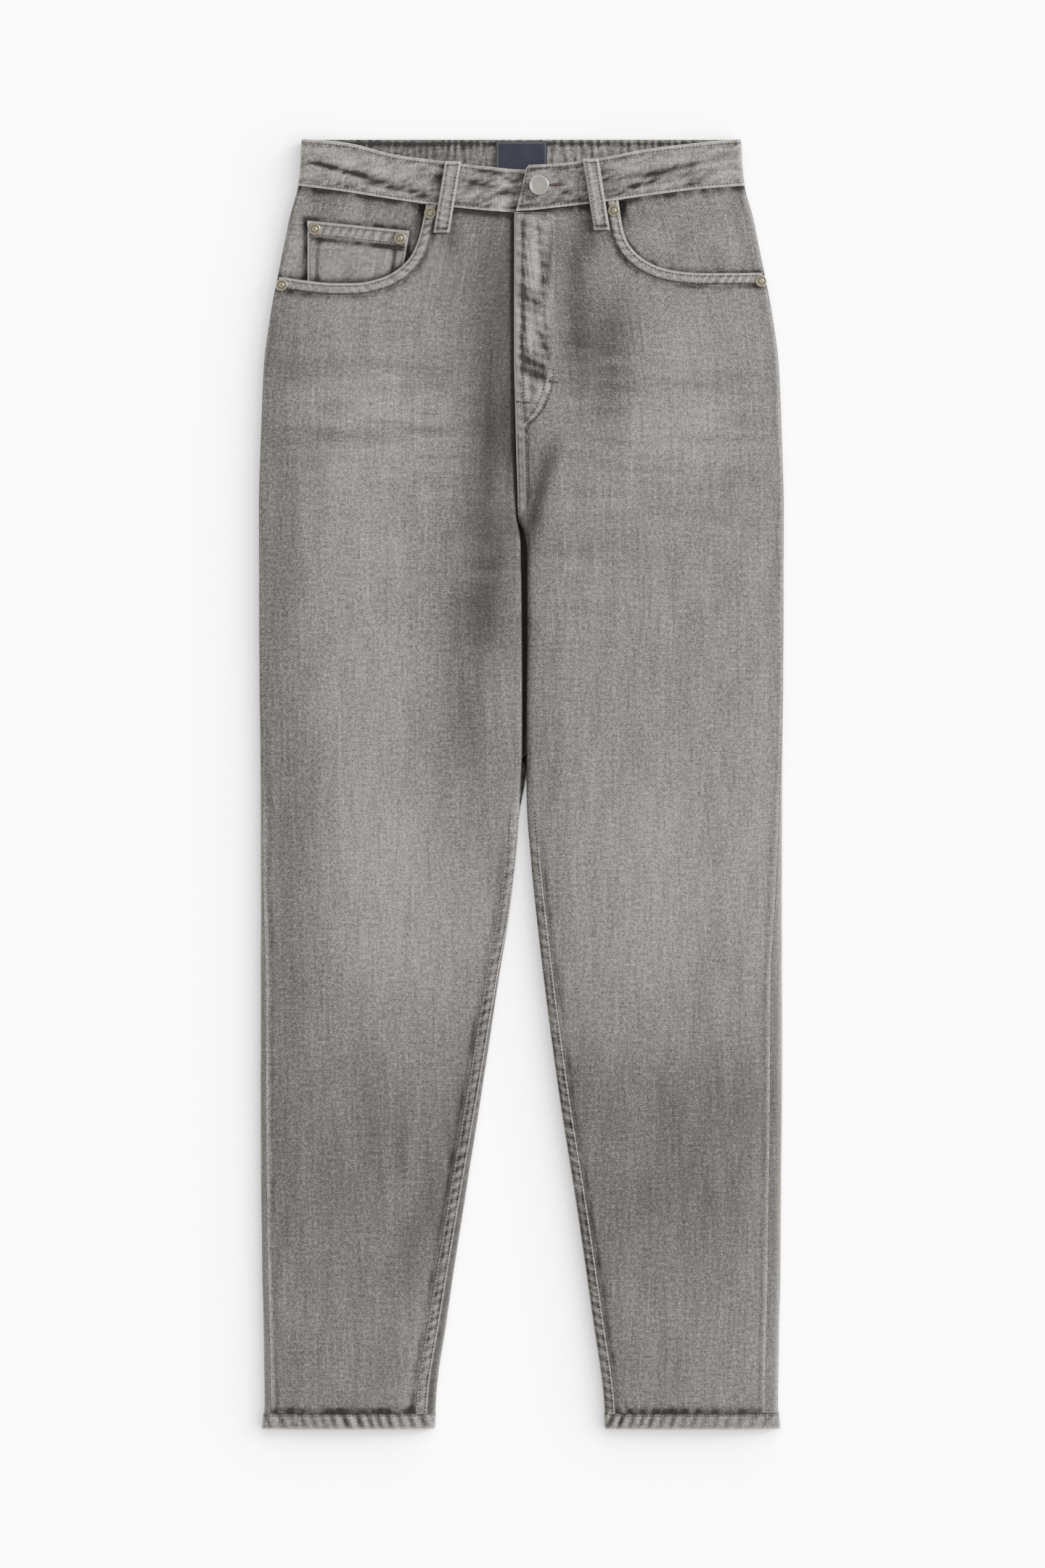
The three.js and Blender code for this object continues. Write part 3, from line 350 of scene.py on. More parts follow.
class LaidForm:
    """The flattened tubes that the cloth follows.

    A place on it is given by its half, its height y and its ring: the distance along the cloth in from the
    outer fold over the front. A negative ring runs from the same fold underneath.
    """

    ROWS = 540
    SAMPLES = 640

    def __init__(self) -> None:
        """Draws both halves' front and back lines at every height."""
        self.y = np.linspace(-END, END, self.ROWS)
        self.lattice: dict[Side, Array] = {}
        self.lengths: dict[Side, Array] = {}
        for side in Side:
            lines = [self._evenly(line) for line in self._lines(side)]
            self.lattice[side] = np.stack([line[0] for line in lines])
            self.lengths[side] = np.stack([line[1] for line in lines])

    def _lines(self, side: Side) -> tuple[Array, Array]:
        """The front line from the outline in, and the back line from the inner edge out, at every height."""
        y = self.y[:, None]
        outer = OUT(y)
        inner = side.value * INNER[side](y)
        turn = FOLD_ROUND * (1 - np.cos(np.linspace(0, math.pi / 2, 16)))
        share = np.linspace(0, 1, 72)[1:-1]
        middle = blend(outer - FOLD_ROUND, inner + FOLD_ROUND, share)
        m = np.concatenate([outer - turn, middle, inner + turn[::-1]], axis=1)
        top = np.stack([m, self._top_height(m, y, outer, inner)], axis=-1)
        under = m[:, ::-1]
        low = np.stack([under, self._bottom_height(under, y, outer, inner)], axis=-1)
        upper = ease((y + 30) / 50)
        gap = INNER[Side.LEFT](y) - INNER[Side.RIGHT](y)
        beyond = upper * (gap + 0.4 if side is Side.RIGHT else -0.9)
        low[..., 0] -= beyond * (1 - ease((under - inner) / 14))
        if side is Side.RIGHT:
            dip = 1.3 * upper * (1 - ease((under - inner) / 4))
            low[..., 1] = np.maximum(low[..., 1] - dip, np.minimum(low[..., 1], 0.1))
        return top, low

    @staticmethod
    def _drop(crown: Array, fold: Array, inward: Array) -> Array:
        """How far the front lies under its crown at a distance in from a folded edge."""
        turn = (crown - fold - SHOULDER_DROP) * (1 - quarter(inward / FOLD_ROUND))
        return turn + SHOULDER_DROP * (1 - ease(inward / SHOULDER_WIDTH))

    def _top_height(self, m: Array, y: Array, outer: Array, inner: Array) -> Array:
        """Height of the front's skin."""
        crown, fold = CROWN(y), FOLD(y)
        across = np.clip((m - inner) / (outer - inner), 0, 1)
        crowned = crown + DOME(y) * 4 * across * (1 - across)
        rise = blend(fold, crown, ease((y - CROTCH) / RISE_LENGTH))
        joined = (crown - rise) * (1 - np.clip((m - inner) / GROOVE_FRONT, 0, 1)) ** 2
        inner_drop = blend(self._drop(crown, fold, m - inner), joined, ease((y - CROTCH) / SADDLE_LENGTH))
        return crowned - self._drop(crown, fold, outer - m) - inner_drop

    def _bottom_height(self, m: Array, y: Array, outer: Array, inner: Array) -> Array:
        """Height of the back's skin, which faces the table."""
        fold = FOLD(y)
        lift = SEAT_LIFT * ease((y - 212) / 36)
        joined = ease((y - CROTCH) / SADDLE_LENGTH)
        outer_rise = (fold - lift) * (1 - quarter((outer - m) / FOLD_ROUND))
        dip = (1 - np.clip((m - inner) / GROOVE_BACK, 0, 1)) ** 2
        inner_turn = blend(1 - quarter((m - inner) / FOLD_ROUND), dip, joined)
        inner_rise = np.maximum(0, blend(fold, SEAT_LIFT, joined) - lift)
        return lift + outer_rise + inner_rise * inner_turn

    def _evenly(self, line: Array) -> tuple[Array, Array]:
        """Resamples each height's line evenly and adds its outward normals.

        Returns:
            The lattice of distance, height and normal, and each line's length.
        """
        steps = np.hypot(*np.moveaxis(np.diff(line, axis=1), -1, 0))
        arc = np.concatenate([np.zeros((len(line), 1)), np.cumsum(steps, axis=1)], axis=1)
        share = np.linspace(0, 1, self.SAMPLES)
        even = np.empty((len(line), self.SAMPLES, 2))
        for row, (along, points) in enumerate(zip(arc, line)):
            for axis in range(2):
                even[row, :, axis] = np.interp(share * along[-1], along, points[:, axis])
        slope = np.gradient(even, axis=1)
        normal = np.stack([slope[..., 1], -slope[..., 0]], axis=-1)
        normal /= np.linalg.norm(normal, axis=-1, keepdims=True)
        return np.concatenate([even, normal], axis=-1), arc[:, -1]

    def _row(self, y: Array) -> tuple[Array, Array]:
        """The lattice row under each height and the share of the way to the next."""
        row = np.clip((y + END) / (2 * END) * (self.ROWS - 1), 0, self.ROWS - 1.000001)
        return row.astype(int), row - row.astype(int)

    def _length(self, side: Side, face: int, y: Array) -> Array:
        """Length of the front line, face 0, or the back line, face 1, at each height."""
        row, t = self._row(np.asarray(y, float))
        lengths = self.lengths[side][face]
        return blend(lengths[row], lengths[row + 1], t)

    def top_length(self, side: Side, y: Array) -> Array:
        """Length of the front line at each height."""
        return self._length(side, 0, y)

    def under_length(self, side: Side, y: Array) -> Array:
        """Length of the back line at each height."""
        return self._length(side, 1, y)

    def place(self, side: Side, ring: Array, y: Array) -> tuple[Array, Array]:
        """The point and the outward normal at each ring and height, in mm."""
        ring, y = np.broadcast_arrays(np.asarray(ring, float), np.asarray(y, float))
        row, t = self._row(y)
        over, under = self.top_length(side, y), self.under_length(side, y)
        ring = np.where(ring < 0, ring + over + under, ring)
        face = (ring > over).astype(int)
        share = np.clip(np.where(face == 0, ring / over, (ring - over) / under), 0, 1)
        sample = np.clip(share * (self.SAMPLES - 1), 0, self.SAMPLES - 1.000001)
        k = sample.astype(int)
        w = (sample - k)[..., None]
        lattice = self.lattice[side]
        low = blend(lattice[face, row, k], lattice[face, row, k + 1], w)
        high = blend(lattice[face, row + 1, k], lattice[face, row + 1, k + 1], w)
        found = blend(low, high, t[..., None])
        point = np.stack([side.value * found[..., 0], y, found[..., 1]], axis=-1)
        normal = np.stack([side.value * found[..., 2], np.zeros_like(y), found[..., 3]], axis=-1)
        return point, normal / np.linalg.norm(normal, axis=-1, keepdims=True)

    def x_at(self, side: Side, ring: Array, y: Array) -> Array:
        """The X of each ring and height, in mm."""
        return self.place(side, ring, y)[0][..., 0]

    def lifted(self, side: Side, ring: Array, y: Array, lift: float = STITCH_LIFT) -> Array:
        """Points just over the skin at each ring and height, for a row of stitches."""
        point, normal = self.place(side, ring, y)
        return point + normal * lift

    def ring_at(self, side: Side, m: Array, y: Array) -> Array:
        """The ring on the front at a distance m from the centre."""
        m, y = np.broadcast_arrays(np.asarray(m, float), np.asarray(y, float))
        ring = np.clip(OUT(y) - m, 0.0, None)
        for _ in range(6):
            ring = np.clip(ring + side.value * self.x_at(side, ring, y) - m, 0.0, self.top_length(side, y))
        return ring


@dataclass
class Patch:
    """A closed wall of cloth over a grid of places.

    over and under are how far its two faces lie out along the normals, cloth is the weave's own coordinates
    in mm, tone is the share of light yarn, with painted shade, shadow and highlights in places, and wear is how
    far the dye has rubbed off.
    """

    points: Array
    normals: Array
    over: Array
    under: Array
    cloth: Array
    tone: Array
    wear: Array

    def skin(self) -> Array:
        """The outer face's points."""
        return self.points + self.normals * self.over[..., None]

    def lining(self) -> Array:
        """The inner face's points."""
        return self.points + self.normals * self.under[..., None]


def level_patch(
    x: Array, y: Array, z: float, up: int, over: Array, under: float, tone: Array, wear: Array, seed: float
) -> Patch:
    """A level wall of cloth at height z, whose outer face looks up, for 1, or down, for -1."""
    points = np.stack([x, y, np.full(x.shape, z)], axis=-1)
    normals = np.broadcast_to(np.array([0.0, 0.0, float(up)]), points.shape)
    cloth = np.stack([up * x, y, np.full(x.shape, seed)], axis=-1)
    return Patch(points, normals, over, np.full(x.shape, under), cloth, tone, wear)


def border(rows: int, columns: int) -> Array:
    """The grid indices round the edge of a patch, in order."""
    grid = np.arange(rows * columns).reshape(rows, columns)
    return np.concatenate([grid[0, :-1], grid[:-1, -1], grid[-1, :0:-1], grid[:0:-1, 0]])


@dataclass
class ClothMesh:
    """The mesh of one cut piece, joined from its patches."""

    name: str
    patches: Sequence[Patch]

    def build(self, material: bpy.types.Material) -> bpy.types.Object:
        """Makes the object, with the weave's coordinates, tone and wear on its vertices."""
        parts: list[tuple[Array, ...]] = []
        start = 0
        for patch in self.patches:
            points, quads, *values = self._wall(patch)
            parts.append((points, quads + start, *values))
            start += len(points)
        points, quads, cloth, tone, wear = (np.concatenate(group) for group in zip(*parts))
        mesh = quad_mesh(self.name, points, quads)
        give(mesh, "cloth", cloth)
        give(mesh, "tone", tone)
        give(mesh, "wear", wear)
        return shown(mesh, material)

    @staticmethod
    def _wall(patch: Patch) -> tuple[Array, ...]:
        """The points, quads and attributes of one closed wall with a rounded rim."""
        rows, columns = patch.over.shape
        count = rows * columns
        body = patch.skin()
        skin, lining = body.reshape(-1, 3), patch.lining().reshape(-1, 3)
        edge = border(rows, columns)
        spread = np.zeros((rows, columns, 3))
        spread[0] += body[0] - body[1]
        spread[-1] += body[-1] - body[-2]
        spread[:, 0] += body[:, 0] - body[:, 1]
        spread[:, -1] += body[:, -1] - body[:, -2]
        outward = spread.reshape(-1, 3)[edge]
        outward /= np.linalg.norm(outward, axis=-1, keepdims=True) + 1e-9
        thick = np.linalg.norm(skin[edge] - lining[edge], axis=-1, keepdims=True)
        rim = (skin[edge] + lining[edge]) / 2 + outward * thick * 0.3
        grid = np.arange(count).reshape(rows, columns)
        a, b, c, d = (g.ravel() for g in (grid[:-1, :-1], grid[:-1, 1:], grid[1:, 1:], grid[1:, :-1]))
        facing = np.cross(body[1, 0] - body[0, 0], body[0, 1] - body[0, 0]) @ patch.normals[0, 0]
        outer = np.stack([a, b, c, d] if facing < 0 else [a, d, c, b], axis=1)
        follow = np.roll(edge, -1)
        middle = 2 * count + np.arange(len(edge))
        next_middle = np.roll(middle, -1)
        first = np.stack([edge, middle, next_middle, follow], axis=1)
        second = np.stack([middle, edge + count, follow + count, next_middle], axis=1)
        sides = np.concatenate([first, second])
        if facing < 0:
            sides = sides[:, ::-1]
        cloth, tone, wear = patch.cloth.reshape(-1, 3), patch.tone.ravel(), patch.wear.ravel()
        return (
            np.concatenate([skin, lining, rim]),
            np.concatenate([outer, outer[:, ::-1] + count, sides]),
            np.concatenate([cloth, cloth, cloth[edge]]),
            np.concatenate([tone, tone, tone[edge]]),
            np.concatenate([wear, wear * 0.4, wear[edge]]),
        )


def quad_mesh(name: str, points: Array, faces: Array) -> bpy.types.Mesh:
    """A smooth mesh in metres from points in mm and faces of one size."""
    mesh = bpy.data.meshes.new(name)
    size = faces.shape[1]
    mesh.vertices.add(len(points))
    mesh.vertices.foreach_set("co", (points * MM).astype(np.float32).ravel())
    mesh.loops.add(faces.size)
    mesh.loops.foreach_set("vertex_index", faces.astype(np.int32).ravel())
    mesh.polygons.add(len(faces))
    mesh.polygons.foreach_set("loop_start", np.arange(0, faces.size, size, dtype=np.int32))
    mesh.polygons.foreach_set("use_smooth", np.ones(len(faces), bool))
    mesh.update(calc_edges=True)
    mesh.validate()
    return mesh


def give(mesh: bpy.types.Mesh, name: str, values: Array) -> None:
    """Stores a number or a vector for each of a mesh's vertices, for its material."""
    kind, key = ("FLOAT", "value") if values.ndim == 1 else ("FLOAT_VECTOR", "vector")
    attribute = mesh.attributes.new(name, kind, "POINT")
    attribute.data.foreach_set(key, values.astype(np.float32).ravel())


def shown(mesh: bpy.types.Mesh, material: bpy.types.Material) -> bpy.types.Object:
    """Puts a mesh into the scene with its material."""
    thing = bpy.data.objects.new(mesh.name, mesh)
    mesh.materials.append(material)
    bpy.context.scene.collection.objects.link(thing)
    return thing


class Shading:
    """A material whose nodes are made and joined in short calls."""

    def __init__(self, name: str) -> None:
        """Makes the material with its shader and output."""
        self.material = bpy.data.materials.new(name)
        self.material.use_nodes = True
        self.tree = self.material.node_tree
        self.shader = self.tree.nodes["Principled BSDF"]

    def add(self, kind: str, **settings: object) -> bpy.types.Node:
        """Adds a node with its settings."""
        node = self.tree.nodes.new(kind)
        for key, value in settings.items():
            setattr(node, key, value)
        return node

    def feed(self, socket: bpy.types.NodeSocket, value: object) -> None:
        """Gives a socket a number, a colour or another socket."""
        if isinstance(value, bpy.types.NodeSocket):
            self.tree.links.new(value, socket)
        elif isinstance(value, tuple) and len(value) == 3 and socket.type == "RGBA":
            socket.default_value = (*value, 1.0)
        else:
            socket.default_value = value

    def maths(self, operation: str, *values: object) -> bpy.types.NodeSocket:
        """The result of a sum on sockets and numbers."""
        return self.fed("ShaderNodeMath", *values, operation=operation)

    def times(self, a: object, b: object) -> bpy.types.NodeSocket:
        """a times b."""
        return self.maths("MULTIPLY", a, b)

    def plus(self, a: object, b: object, c: object) -> bpy.types.NodeSocket:
        """a times b, plus c."""
        return self.maths("MULTIPLY_ADD", a, b, c)

    def fed(self, kind: str, *values: object, **settings: object) -> bpy.types.NodeSocket:
        """The first output of a new node whose first inputs are given."""
        node = self.add(kind, **settings)
        for socket, value in zip(node.inputs, values):
            self.feed(socket, value)
        return node.outputs[0]

    def mix(self, share: object, a: object, b: object) -> bpy.types.NodeSocket:
        """A mix of two colours."""
        node = self.add("ShaderNodeMix", data_type="RGBA")
        for index, value in ((0, share), (6, a), (7, b)):
            self.feed(node.inputs[index], value)
        return node.outputs[2]

    def vector(self, x: object, y: object, z: object = 0.0) -> bpy.types.NodeSocket:
        """A vector from its three parts."""
        return self.fed("ShaderNodeCombineXYZ", x, y, z)

    def noise(self, vector: object, detail: float = 2.0, scale: float = 1.0) -> bpy.types.NodeSocket:
        """Soft noise from 0 to 1, of about one unit at a scale of 1."""
        node = self.add("ShaderNodeTexNoise")
        for key, value in (("Vector", vector), ("Scale", scale), ("Detail", detail)):
            self.feed(node.inputs[key], value)
        return node.outputs[0]

    def mottle(self, place: Sequence[object], across: float, along: float, detail: float) -> object:
        """Noise about nought, at its own scales across and along the cloth."""
        x, y, seed = place
        scaled = self.vector(self.times(x, across), self.times(y, along), seed)
        return self.maths("SUBTRACT", self.noise(scaled, detail), 0.5)

    def attribute(self, name: str, output: str = "Fac") -> bpy.types.NodeSocket:
        """A value kept on the mesh."""
        return self.add("ShaderNodeAttribute", attribute_name=name).outputs[output]

    def split(self, vector: bpy.types.NodeSocket) -> list[bpy.types.NodeSocket]:
        """The three parts of a vector."""
        node = self.add("ShaderNodeSeparateXYZ")
        self.feed(node.inputs[0], vector)
        return list(node.outputs)

    def bump(self, height: bpy.types.NodeSocket, distance: float, strength: float) -> None:
        """Bumps the shader's surface by a height."""
        node = self.add("ShaderNodeBump")
        for key, value in (("Height", height), ("Distance", distance), ("Strength", strength)):
            self.feed(node.inputs[key], value)
        self.feed(self.shader.inputs["Normal"], node.outputs[0])

    def finish(self, **values: object) -> bpy.types.Material:
        """Sets the shader's named sockets and returns the material."""
        for key, value in values.items():
            self.feed(self.shader.inputs[key.replace("_", " ")], value)
        return self.material


@dataclass(frozen=True)
class DenimFinish:
    """Washed grey twill: dark and light yarn in slanting lines, mottled by the slubs of the yarn."""

    name: str
    dark: Colour = (0.0085, 0.0076, 0.0073)
    light: Colour = (0.263, 0.245, 0.226)
    worn: Colour = (0.285, 0.269, 0.248)
    line_pitch: float = 1.17
    contrast: float = 1.75

    @staticmethod
    def yarn(s: Shading, place: Sequence[object], width: float, length: float) -> object:
        """How thick each upright yarn is along its run, about nought.

        Args:
            s: the material that the nodes go in.
            place: across the cloth and along it, in mm, and the piece's seed.
            width: yarns to the mm.
            length: thick places to the mm.
        """
        across, along, seed = place
        wavy = s.plus(s.noise(s.vector(0.0, s.times(along, 0.02), seed)), 3.0, across)
        column = s.maths("FLOOR", s.times(wavy, width))
        return s.mottle((column, along, seed), 7.31, length, 2.0)

    def material(self) -> bpy.types.Material:
        """Builds the cloth's material."""
        s = Shading(self.name)
        place = across, along, seed = s.split(s.attribute("cloth", "Vector"))
        wobble = s.noise(s.vector(s.times(across, 0.16), s.times(along, 0.16), seed))
        slanted = s.maths("SUBTRACT", s.times(across, 0.866), s.times(along, 0.5))
        phase = s.plus(slanted, math.tau / self.line_pitch, s.times(wobble, 5.0))
        line = s.times(s.maths("SINE", phase), 0.5)
        grain = s.mottle(place, 1.5, 1.1, 3.0)
        slub = s.maths("ADD", self.yarn(s, place, 0.95, 0.028), self.yarn(s, place, 0.4, 0.018))
        spread = s.plus(line, 0.5, s.times(grain, 2.7))
        spread = s.plus(slub, 0.45, spread)
        spread = s.plus(s.mottle(place, 0.42, 0.34, 3.0), 1.2, spread)
        spread = s.plus(s.mottle(place, 0.06, 0.7, 2.0), 0.5, spread)
        lift = s.maths("EXPONENT", s.times(spread, self.contrast))
        # the tone attribute brings the wash together with its painted shade, shadow and highlights
        share = s.times(lift, s.maths("MAXIMUM", s.attribute("tone"), 0.02))
        clamped = s.maths("MINIMUM", s.maths("MAXIMUM", share, 0.0), 1.0)
        colour = s.mix(s.attribute("wear"), s.mix(clamped, self.dark, self.light), self.worn)
        s.bump(s.plus(line, 0.6, s.times(grain, 1.6)), 0.00035, 0.55)
        return s.finish(
            Base_Color=colour, Roughness=0.92, Specular_IOR_Level=0.08, Sheen_Weight=0.02, Sheen_Roughness=0.6
        )


@dataclass(frozen=True)
class ThreadFinish:
    """Twisted sewing thread."""

    name: str
    dark: Colour
    light: Colour

    def material(self) -> bpy.types.Material:
        """Builds the thread's material."""
        s = Shading(self.name)
        across, along, seed = s.split(s.attribute("cloth", "Vector"))
        ply = s.maths("SINE", s.plus(along, 7.0, s.times(across, 5.0)))
        s.bump(ply, 0.0002, 0.5)
        share = s.plus(ply, 0.2, s.noise(s.vector(seed, 0.5, 0.5)))
        return s.finish(Base_Color=s.mix(share, self.dark, self.light), Roughness=0.75, Specular_IOR_Level=0.15)


@dataclass(frozen=True)
class MetalFinish:
    """Plated metal, rubbed brighter on its high rings and dull with wash residue in its low ones."""

    name: str
    bright: Colour
    dull: Colour
    roughness: float = 0.34

    def material(self) -> bpy.types.Material:
        """Builds the metal's material."""
        s = Shading(self.name)
        cloud = s.noise(s.add("ShaderNodeTexCoord").outputs["Object"], 3.0, 900.0)
        share = s.plus(s.attribute("wear"), 0.7, s.times(cloud, 0.5))
        rough = s.plus(cloud, 0.25, self.roughness - 0.1)
        s.bump(cloud, 0.00006, 0.4)
        return s.finish(Base_Color=s.mix(share, self.dull, self.bright), Metallic=1.0, Roughness=rough)


@dataclass(frozen=True)
class LabelFinish:
    """A woven satin label."""

    name: str
    colour: Colour
    shade: Colour
    thread: Colour

    def material(self) -> bpy.types.Material:
        """Builds the label's material, whose border threads show where wear is high."""
        s = Shading(self.name)
        across, along, _ = s.split(s.attribute("cloth", "Vector"))
        weave = s.times(s.maths("SINE", s.times(along, 14.0)), s.maths("SINE", s.times(across, 17.0)))
        base = s.mix(s.plus(weave, 0.2, 0.3), self.colour, self.shade)
        s.bump(weave, 0.0001, 0.6)
        colour = s.mix(s.attribute("wear"), base, self.thread)
        return s.finish(Base_Color=colour, Roughness=0.62, Specular_IOR_Level=0.2)


@dataclass(frozen=True)
class FloorFinish:
    """A pale paper sweep that glows evenly, with a soft shadow painted into its glow near the jeans, deeper on
    the side away from the light.
    """

    name: str = "pale_floor"
    colour: Colour = (0.93, 0.93, 0.93)
    glow: float = 8.0
    shadow_reach: float = 0.06
    towards_light: Colour = (0.72, 0.3, 0.62)

    def material(self) -> bpy.types.Material:
        """Builds the floor's material."""
        s = Shading(self.name)
        # painted shadow: occlusion that leans towards the light dims the glow near the jeans, most on their
        # side away from the light
        near = s.add("ShaderNodeAmbientOcclusion", samples=8)
        near.inputs["Distance"].default_value = self.shadow_reach
        s.feed(near.inputs["Normal"], s.vector(*self.towards_light))
        unshadowed_share = s.maths("POWER", near.outputs["AO"], 7.0)
        return s.finish(
            Base_Color=self.colour,
            Roughness=0.9,
            Specular_IOR_Level=0.1,
            Emission_Color=(1.0, 1.0, 1.0),
            Emission_Strength=s.times(unshadowed_share, self.glow),
        )


DENIM = DenimFinish("grey_washed_denim")
THREAD = ThreadFinish("taupe_thread", (0.018, 0.0115, 0.0105), (0.056, 0.039, 0.036))
NICKEL = MetalFinish("worn_pale_nickel", (0.3, 0.285, 0.255), (0.13, 0.12, 0.105))
BRASS = MetalFinish("worn_brass", (0.22, 0.2, 0.14), (0.03, 0.025, 0.015), 0.36)
LABEL_CLOTH = LabelFinish(
    "navy_woven_label", (0.0016, 0.0022, 0.0075), (0.004, 0.006, 0.017), (0.12, 0.115, 0.1)
)


@dataclass
class Finishes:
    """The materials, each made once."""

    denim: bpy.types.Material = field(default_factory=DENIM.material)
    thread: bpy.types.Material = field(default_factory=THREAD.material)
    nickel: bpy.types.Material = field(default_factory=NICKEL.material)
    brass: bpy.types.Material = field(default_factory=BRASS.material)
    label: bpy.types.Material = field(default_factory=LABEL_CLOTH.material)


class Stitching:
    """Rows of stitches that sink into a piece of cloth."""

    SECTION = 5
    RADIUS = 0.42

    def __init__(self, cloth: ClothMesh) -> None:
        """Reads the cloth's outer faces, which the stitches lie on."""
        points: list[tuple[float, float, float]] = []
        quads: list[tuple[int, int, int, int]] = []
        for patch in cloth.patches:
            rows, columns = patch.over.shape
            grid = len(points) + np.arange(rows * columns).reshape(rows, columns)
            points.extend(map(tuple, patch.skin().reshape(-1, 3)))
            corners = (grid[:-1, :-1], grid[:-1, 1:], grid[1:, 1:], grid[1:, :-1])
            quads.extend(zip(*(corner.ravel().tolist() for corner in corners)))
        self.tree = BVHTree.FromPolygons(points, quads)
        self.frames: list[tuple[Array, Array, Array, float]] = []
        self.cloth = cloth

    def row(self, path: Array, pitch: float = 3.0, length: float = 2.4) -> None:
        """Sews a row along a path.

        Args:
            path: points near the cloth, in mm.
            pitch: from one stitch to the next.
            length: of each stitch.
        """
        arc = distances(path)
        for i in range(max(int((arc[-1] - 0.4 * pitch) / pitch), 0)):
            middle = (i + 0.5) * pitch
            ends = [
                Vector([float(np.interp(middle + shift, arc, path[:, axis])) for axis in range(3)])
                for shift in (-length / 2, length / 2)
            ]
            self.stitch(*ends)

    def stitch(self, start: Vector, end: Vector) -> None:
        """Sets one stitch between two places near the cloth."""
        middle = (start + end) / 2
        centre, outward, _, _ = self.tree.find_nearest(middle)
        if outward.dot(middle - centre) < 0:
            outward = -outward
        along = end - start
        along -= outward * along.dot(outward)
        length = along.length
        along.normalize()
        self.frames.append((np.array(centre), np.array(along), np.array(outward), length))

    def bar_tack(
        self, start: Sequence[float], end: Sequence[float], width: float = 2.2, count: int = 16
    ) -> None:
        """Sews a close zigzag bar between two places near the cloth."""
        a, b = Vector(start), Vector(end)
        along = (b - a).normalized()
        across = along.cross(Vector((0, 0, 1))).normalized() * width / 2
        for i in range(count):
            middle = a.lerp(b, (i + 0.5) / count)
            lean = along * 0.3 * (1 if i % 2 else -1)
            self.stitch(middle - across - lean, middle + across + lean)

    def build(self, material: bpy.types.Material) -> bpy.types.Object:
        """Makes the object of all the stitches."""
        turn = np.arange(self.SECTION) / self.SECTION * math.tau
        local = [(-0.5, 0.0, -0.5)]
        for along, size, lift in ((-0.36, 0.72, 0.0), (0.0, 1.0, 0.35), (0.36, 0.72, 0.0)):
            local += [(along, size * math.cos(a), lift + size * math.sin(a)) for a in turn]
        local.append((0.5, 0.0, -0.5))
        shape = np.array(local)
        run, aside, up = shape[:, :1], shape[:, 1:2], shape[:, 2:]
        faces = self._faces()
        points, triangles, cloth = [], [], []
        for i, (centre, along, outward, length) in enumerate(self.frames):
            across = np.cross(outward, along)
            body = centre + run * length * along + aside * self.RADIUS * across
            points.append(body + up * self.RADIUS * 0.8 * outward)
            triangles.append(faces + i * len(shape))
            cloth.append(np.concatenate([aside, run * length, np.full_like(run, i * 0.37)], axis=1))
        mesh = quad_mesh(self.cloth.name + "_stitches", np.concatenate(points), np.concatenate(triangles))
        give(mesh, "cloth", np.concatenate(cloth))
        thing = shown(mesh, material)
        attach(thing, "root")
        return thing

    def _faces(self) -> Array:
        """The triangles of one stitch."""
        n = self.SECTION
        faces = []
        for i in range(n):
            j = (i + 1) % n
            faces.append((0, 1 + j, 1 + i))
            faces.append((3 * n + 1, 2 * n + 1 + i, 2 * n + 1 + j))
            for ring in (1, n + 1):
                a, b, c, d = ring + i, ring + j, ring + n + j, ring + n + i
                faces += [(a, b, c), (a, c, d)]
        return np.array(faces)


@dataclass(frozen=True)
class Cut:
    """A cut piece's flat size in metres, and how much of that rectangle it fills."""

    width: float
    length: float
    filled: float


def declare(
    thing: bpy.types.Object, node: str
) -> bpy.types.Object:
    """Hangs a cloth piece under the root and hides the part's node that it stands for."""
    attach(thing, "root")
    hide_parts(node)
    return thing


